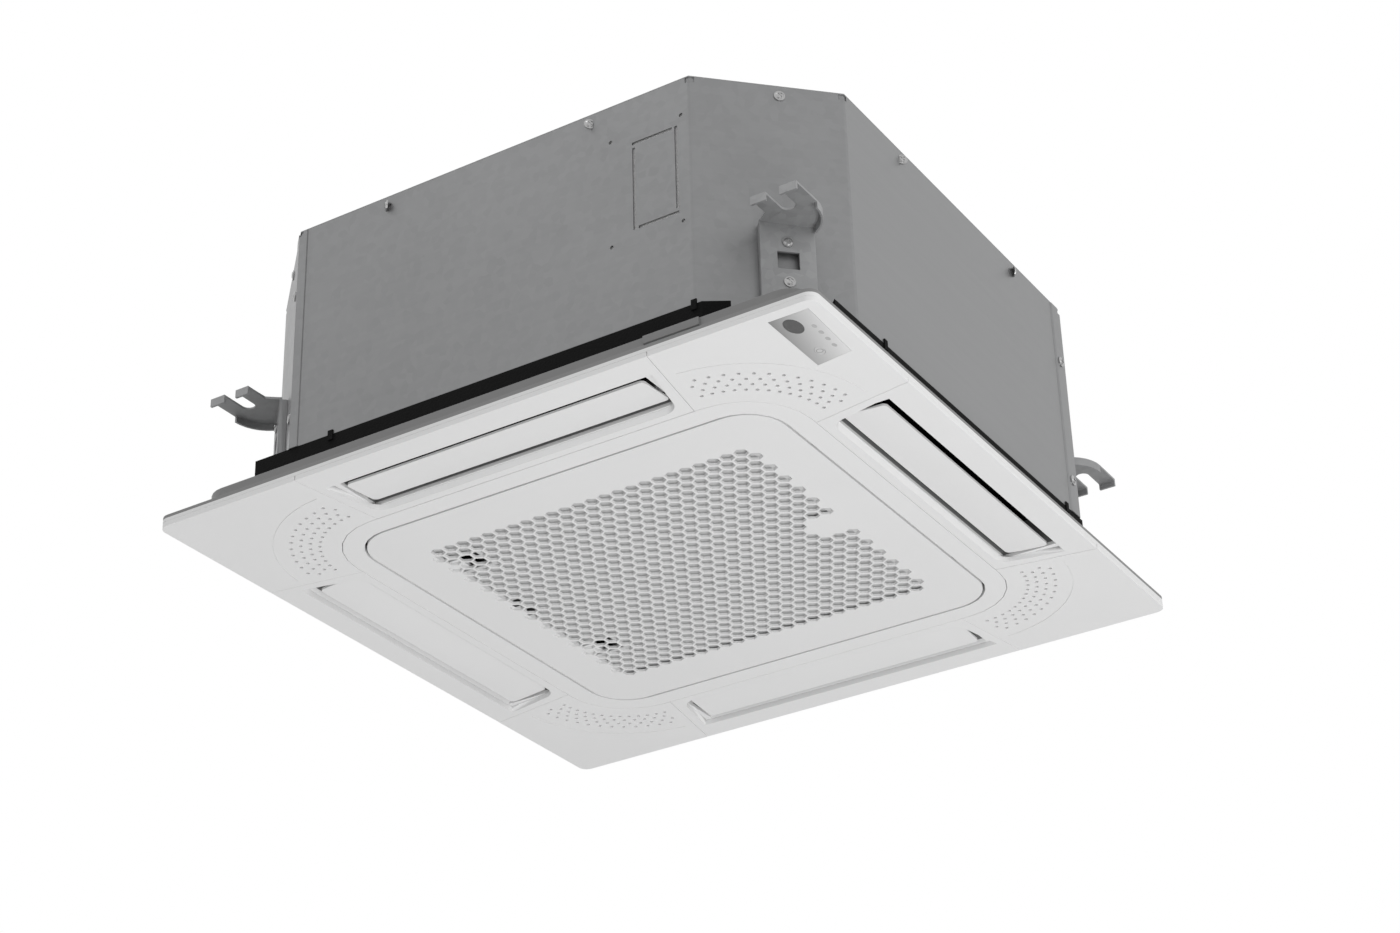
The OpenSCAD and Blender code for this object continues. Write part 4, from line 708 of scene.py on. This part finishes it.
def hexagon_recipe(look, thickness, material):
    """A plate pierced by rows of hexagons, every second row shifted by half a pitch and one cell shorter"""
    r = Recipe("hexagon_grille", {
        "Pitch": look.pitch, "Wall": look.wall, "Rows": look.rows, "Columns": look.columns,
        "Plain Cells": look.plain_cells, "Draft": look.draft, "Thickness": thickness, "Material": material})
    pitch, wall, rows, columns, plain_cells, draft, depth = (
        r.size(key) for key in ("Pitch", "Wall", "Rows", "Columns", "Plain Cells", "Draft", "Thickness"))

    # Row and column of each point, counted from the middle row and from the left
    index = r.node("GeometryNodeInputIndex")
    line = math.floor((index + 0.5) / columns)
    column = index - line * columns
    row = line - (rows - 1) * 0.5
    far = abs(row)
    odd = far % 2
    middle = (columns - 1 - odd) * 0.5
    x = (column - middle) * pitch
    y = row * pitch * (math.sqrt(3) / 2)
    spots = r.node("GeometryNodePoints", inputs={
        "Count": rows * columns, "Position": r.node("ShaderNodeCombineXYZ", inputs={"X": x, "Y": y})})

    # The plain patch takes the right-hand cells of the middle row and of the rows beside it
    bare = (plain_cells - far) * far.below(1.5)
    used = column + odd + bare.larger(0.0)
    kept = r.node("GeometryNodeDeleteGeometry", {"domain": "POINT"},
                  {"Geometry": spots, "Selection": used.above(columns - 0.5)})

    # Each cutter is a long shaft with a flare at the face
    radius = (pitch - wall) / math.sqrt(3)
    flare = draft * 2
    prism = r.node("GeometryNodeMeshCone", inputs={
        "Vertices": 6, "Radius Top": radius, "Radius Bottom": radius + flare, "Depth": flare})
    shaft = r.node("GeometryNodeMeshCylinder", inputs={"Vertices": 6, "Radius": radius, "Depth": depth * 4})
    cutter = r.node("GeometryNodeMeshBoolean", {"operation": "UNION", "solver": "EXACT"},
                    {"Mesh 2": [r.raised(prism, draft * -1), shaft]})
    turned = r.node("GeometryNodeTransform", inputs={
        "Geometry": cutter, "Rotation": (0, 0, math.radians(30))})
    cutters = r.node("GeometryNodeInstanceOnPoints", inputs={"Points": kept, "Instance": turned})
    loose = r.node("GeometryNodeRealizeInstances", inputs={"Geometry": cutters})
    r.close(r.node("GeometryNodeMeshBoolean", {"operation": "DIFFERENCE", "solver": "MANIFOLD"},
                   {"Mesh 1": r.size("Geometry"), "Mesh 2": loose}))
    return r


def rounded_plate(half, corner, thickness, edge, steps=12, belly=0.3):
    """A closed slab with rounded corners and a small round edge, in two steps, along its face"""
    def ring(inset, z):
        centre, radius = half - corner, corner - inset
        points = []
        for quarter, (right, back) in enumerate(((1, 1), (-1, 1), (-1, -1), (1, -1))):
            for i in range(steps + 1):
                turn = math.radians(90 * (quarter + i / steps))
                x = right * centre + radius * math.cos(turn)
                y = back * centre + radius * math.sin(turn)
                points.append((x, y, z))
        return points

    rings = [ring(edge, 0.0), ring(edge * belly, edge * belly), ring(0.0, edge), ring(0.0, thickness)]
    count = len(rings[0])
    last = len(rings) - 1
    faces = [tuple(range(count))[::-1], tuple(range(last * count, (last + 1) * count))]
    for k in range(last):
        for i in range(count):
            j = (i + 1) % count
            faces.append((k * count + i, k * count + j, (k + 1) * count + j, (k + 1) * count + i))
    mesh = bpy.data.meshes.new("plate")
    mesh.from_pydata([point for one in rings for point in one], [], faces)
    return mesh


def outward(place, reach=0.92):
    """The way a casing screw faces: square to the side, or to the cut corner, that it stands on

    Screws on the sides stand further out than reach, a share of the panel's half width.
    """
    x, y = place.x, place.y
    right, back = math.copysign(1, x), math.copysign(1, y)
    if max(abs(x), abs(y)) <= reach * CAD_BOX[1].x:
        return Vector((right, back, 0)).normalized()
    return Vector((right, 0, 0)) if abs(x) > abs(y) else Vector((0, back, 0))


# Pieces

class CASSETTE_OT_insides(bpy.types.Operator):
    """Finishes of the CAD nodes, for those that keep their own shape"""
    bl_idname = "cassette.insides"
    bl_label = "Insides"

    def execute(self, context):
        for name, piece in CAD_NODES.items():
            piece.data.materials.clear()
            piece.data.materials.append(finish_of(name))
        return {"FINISHED"}


class CASSETTE_OT_casing(bpy.types.Operator):
    """Top plate, side sheets with rounded folds, and the plate behind the pipes"""
    bl_idname = "cassette.casing"
    bl_label = "Casing"

    def execute(self, context):
        edges = context.scene.cassette_edges
        softened("top_plate", "casing_top", edges.sheet)
        softened("front_casing_sheet", "casing_front", edges.sheet, edges.fold)
        softened("rear_casing_sheet", "casing_rear", edges.sheet, edges.fold)
        softened("pipe_cover_plate", "pipe_cover", edges.sheet)
        return {"FINISHED"}


class CASSETTE_OT_hangers(bpy.types.Operator):
    """The four suspension brackets"""
    bl_idname = "cassette.hangers"
    bl_label = "Hangers"

    def execute(self, context):
        edges = context.scene.cassette_edges
        for node in sorted(CAD_NODES):
            if node.startswith("hanger_"):
                softened(node, node.replace("hanger", "bracket"), edges.hanger, whole=False)
        return {"FINISHED"}


class CASSETTE_OT_screws(bpy.types.Operator):
    """Pan-head screws of the casing, the hangers and the pipe cover"""
    bl_idname = "cassette.screws"
    bl_label = "Casing screws"

    # How far the rim's middle lies below the CAD screw's end, as a share of the head's height
    SUNK = 0.75

    def execute(self, context):
        edges = context.scene.cassette_edges
        places, ways = [], []
        for solid in solids_of("casing_screws"):
            way = outward(sum(solid, Vector()) / len(solid))
            reach = max(p.dot(way) for p in solid)
            centre = sum((p - way * p.dot(way) for p in solid), Vector()) / len(solid)
            places.append(centre + way * (reach - edges.screw_height * self.SUNK))
            ways.append(way)
        recipe = screw_recipe(edges.screw_radius, edges.screw_height, FINISHES["zinc"])
        mesh = recipe.mesh_from(points_mesh(places, ways))
        put("screw_heads", mesh, FINISHES["zinc"], "unit", "zinc", "casing_screws")
        return {"FINISHED"}


class CASSETTE_OT_panel(bpy.types.Operator):
    """Panel frame and the face covers"""
    bl_idname = "cassette.panel"
    bl_label = "Panel"

    def execute(self, context):
        edges = context.scene.cassette_edges
        softened("panel_frame", "panel_back_frame", edges.back)
        for node in sorted(CAD_NODES):
            name = node.replace("_cover_", "_face_")
            if node.startswith("side_cover_"):
                softened(node, name, edges.cover)
            elif node.startswith("corner_cover_"):
                softened(node, name, edges.small, whole=False, shortest=2 * MM)
        return {"FINISHED"}


class CASSETTE_OT_louvres(bpy.types.Operator):
    """The four louvre flaps"""
    bl_idname = "cassette.louvres"
    bl_label = "Louvres"

    def execute(self, context):
        edges = context.scene.cassette_edges
        for side in ("front", "left", "rear", "right"):
            softened(f"flap_{side}", f"louvre_{side}", edges.flap)
        return {"FINISHED"}


class CASSETTE_OT_grille(bpy.types.Operator):
    """Intake grille, its rear frame and its latches"""
    bl_idname = "cassette.grille"
    bl_label = "Intake grille"

    def execute(self, context):
        edges = context.scene.cassette_edges
        look = context.scene.cassette_grille
        low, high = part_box("intake_grille")
        plate = rounded_plate(high.x, look.corner, high.z - low.z, edges.cover)
        mesh = hexagon_recipe(look, high.z - low.z, FINISHES["grille_white"]).mesh_from(plate)
        if len(mesh.polygons) < look.rows * look.columns:
            raise RuntimeError("the grille's hexagons are missing")
        put("grille_face", mesh, FINISHES["grille_white"], "grille", "grille_white", "intake_grille")
        softened("grille_frame", "grille_back", edges.small)
        softened("grille_latch_front", "latch_near", edges.latch)
        softened("grille_latch_rear", "latch_far", edges.latch)
        return {"FINISHED"}


class CASSETTE_OT_display(bpy.types.Operator):
    """The display's plate, round the window, lenses and button, which keep their own shapes"""
    bl_idname = "cassette.display"
    bl_label = "Display"

    def execute(self, context):
        softened("display_plate", "display_face", context.scene.cassette_edges.sheet)
        return {"FINISHED"}


# Stage

# The photograph's camera: angles in degrees, distances in metres, focal length and frame in pixels,
# and the sensor's width in millimetres
AZIMUTH, ELEVATION, ROLL = 31.309, -29.064, -1.703
DISTANCE = 2.2395
TARGET = Vector((0.11034, -0.14552, 0.0))
FOCAL_PIXELS, FRAME_PIXELS = 2823.0, 1400.0
SENSOR_WIDTH = 36.0
CLIP_END = 60
UP = Vector((0, 0, 1))

FLOOR_HALF = 9.0

# Name, place, aim, width and power of each lamp, in metres and watts
LAMPS = (
    ("face_light", (1.6, -0.6, -2.1), (0, 0, 0), 1.6, 36),
    ("side_light", (3.0, -0.6, 0.5), (0, 0, 0.1), 1.4, 8),
    ("top_light", (-1.0, -0.8, 2.6), (0, 0, 0.2), 1.6, 16),
)


def stand(thing, place, right, up, back):
    """Puts a camera or a lamp in its place, turned to its three directions"""
    bpy.context.scene.collection.objects.link(thing)
    thing.matrix_world = Matrix.Translation(place) @ Matrix((right, up, back)).transposed().to_4x4()


def place_camera(scene):
    """The camera at the photograph's viewing angle"""
    azimuth, elevation, roll = (math.radians(v) for v in (AZIMUTH, ELEVATION, ROLL))
    back = Vector((math.sin(azimuth) * math.cos(elevation), -math.cos(azimuth) * math.cos(elevation),
                   math.sin(elevation)))
    right = UP.cross(back).normalized()
    up = back.cross(right)
    camera = bpy.data.objects.new("camera", bpy.data.cameras.new("camera"))
    stand(camera, TARGET + back * DISTANCE, right * math.cos(roll) + up * math.sin(roll),
          up * math.cos(roll) - right * math.sin(roll), back)
    camera.data.sensor_width = SENSOR_WIDTH
    camera.data.lens = FOCAL_PIXELS / FRAME_PIXELS * SENSOR_WIDTH
    camera.data.clip_end = CLIP_END
    scene.camera = camera


def lay_floor(scene, drop):
    """A plain pale floor, as far below the unit's face as a ceiling's height"""
    corners = [(x * FLOOR_HALF, y * FLOOR_HALF, -drop) for x, y in ((-1, -1), (1, -1), (1, 1), (-1, 1))]
    mesh = bpy.data.meshes.new("floor")
    mesh.from_pydata(corners, [], [(0, 1, 2, 3)])
    mesh.materials.append(Finish("floor_paint", Base_Color=grey(0.8), Roughness=0.9).material)
    floor = bpy.data.objects.new("floor", mesh)
    scene.collection.objects.link(floor)


def light_room(scene, level):
    """Even light from all sides, and plain white where the camera, a gloss or a lens sees the room"""
    world = bpy.data.worlds.new("room")
    scene.world = world
    world.use_nodes = True
    world.node_tree.nodes.clear()
    room = Wiring(world.node_tree)
    camera, gloss, glass = (room.node("ShaderNodeLightPath", output=f"Is {ray} Ray")
                            for ray in ("Camera", "Glossy", "Transmission"))
    light, backdrop = (room.node("ShaderNodeBackground", inputs={"Color": WHITE, "Strength": strength})
                       for strength in (level, 1.0))
    seen = camera.larger(gloss).larger(glass)
    both = room.node("ShaderNodeMixShader", inputs={0: seen, 1: light, 2: backdrop})
    room.node("ShaderNodeOutputWorld", inputs={"Surface": both})


def hang_lamp(name, place, target, width, power):
    """A soft round lamp, aimed at its target"""
    data = bpy.data.lights.new(name, "AREA")
    data.shape, data.size, data.energy = "DISK", width, power
    place = Vector(place)
    back = (place - Vector(target)).normalized()
    right = UP.cross(back).normalized()
    stand(bpy.data.objects.new(name, data), place, right, back.cross(right), back)


class CASSETTE_OT_stage(bpy.types.Operator):
    """Camera, floor, room light and lamps"""
    bl_idname = "cassette.stage"
    bl_label = "Stage"

    def execute(self, context):
        scene = context.scene
        scene.view_settings.view_transform = "Standard"
        place_camera(scene)
        lay_floor(scene, scene.cassette_stage.floor_drop)
        light_room(scene, scene.cassette_stage.world_level)
        for row in LAMPS:
            hang_lamp(*row)
        return {"FINISHED"}


class CASSETTE_PT_panel(bpy.types.Panel):
    """Lists the cassette's pieces and settings"""
    bl_idname = "CASSETTE_PT_panel"
    bl_label = "Cassette"
    bl_space_type = "VIEW_3D"
    bl_region_type = "UI"
    bl_category = "Cassette"

    def draw(self, context):
        for key, group in GROUPS.items():
            box = self.layout.box()
            for name in group.__annotations__:
                box.prop(getattr(context.scene, key), name)
        for operator in OPERATORS:
            self.layout.operator(operator.bl_idname)


OPERATORS = (CASSETTE_OT_stage, CASSETTE_OT_insides, CASSETTE_OT_casing, CASSETTE_OT_hangers,
             CASSETTE_OT_screws, CASSETTE_OT_panel, CASSETTE_OT_louvres, CASSETTE_OT_grille,
             CASSETTE_OT_display)
GROUPS = {"cassette_finish": CassetteFinish, "cassette_edges": CassetteEdges,
          "cassette_grille": CassetteGrille, "cassette_stage": CassetteStage}


def register():
    for cls in (*GROUPS.values(), *OPERATORS, CASSETTE_PT_panel):
        bpy.utils.register_class(cls)
    for key, group in GROUPS.items():
        setattr(bpy.types.Scene, key, bpy.props.PointerProperty(type=group))


def unregister():
    for key in GROUPS:
        delattr(bpy.types.Scene, key)
    for cls in reversed((*GROUPS.values(), *OPERATORS, CASSETTE_PT_panel)):
        bpy.utils.unregister_class(cls)


def main():
    register()
    make_finishes()
    for operator in OPERATORS:
        family, name = operator.bl_idname.split(".")
        getattr(getattr(bpy.ops, family), name)()


if __name__ == "__main__":
    main()
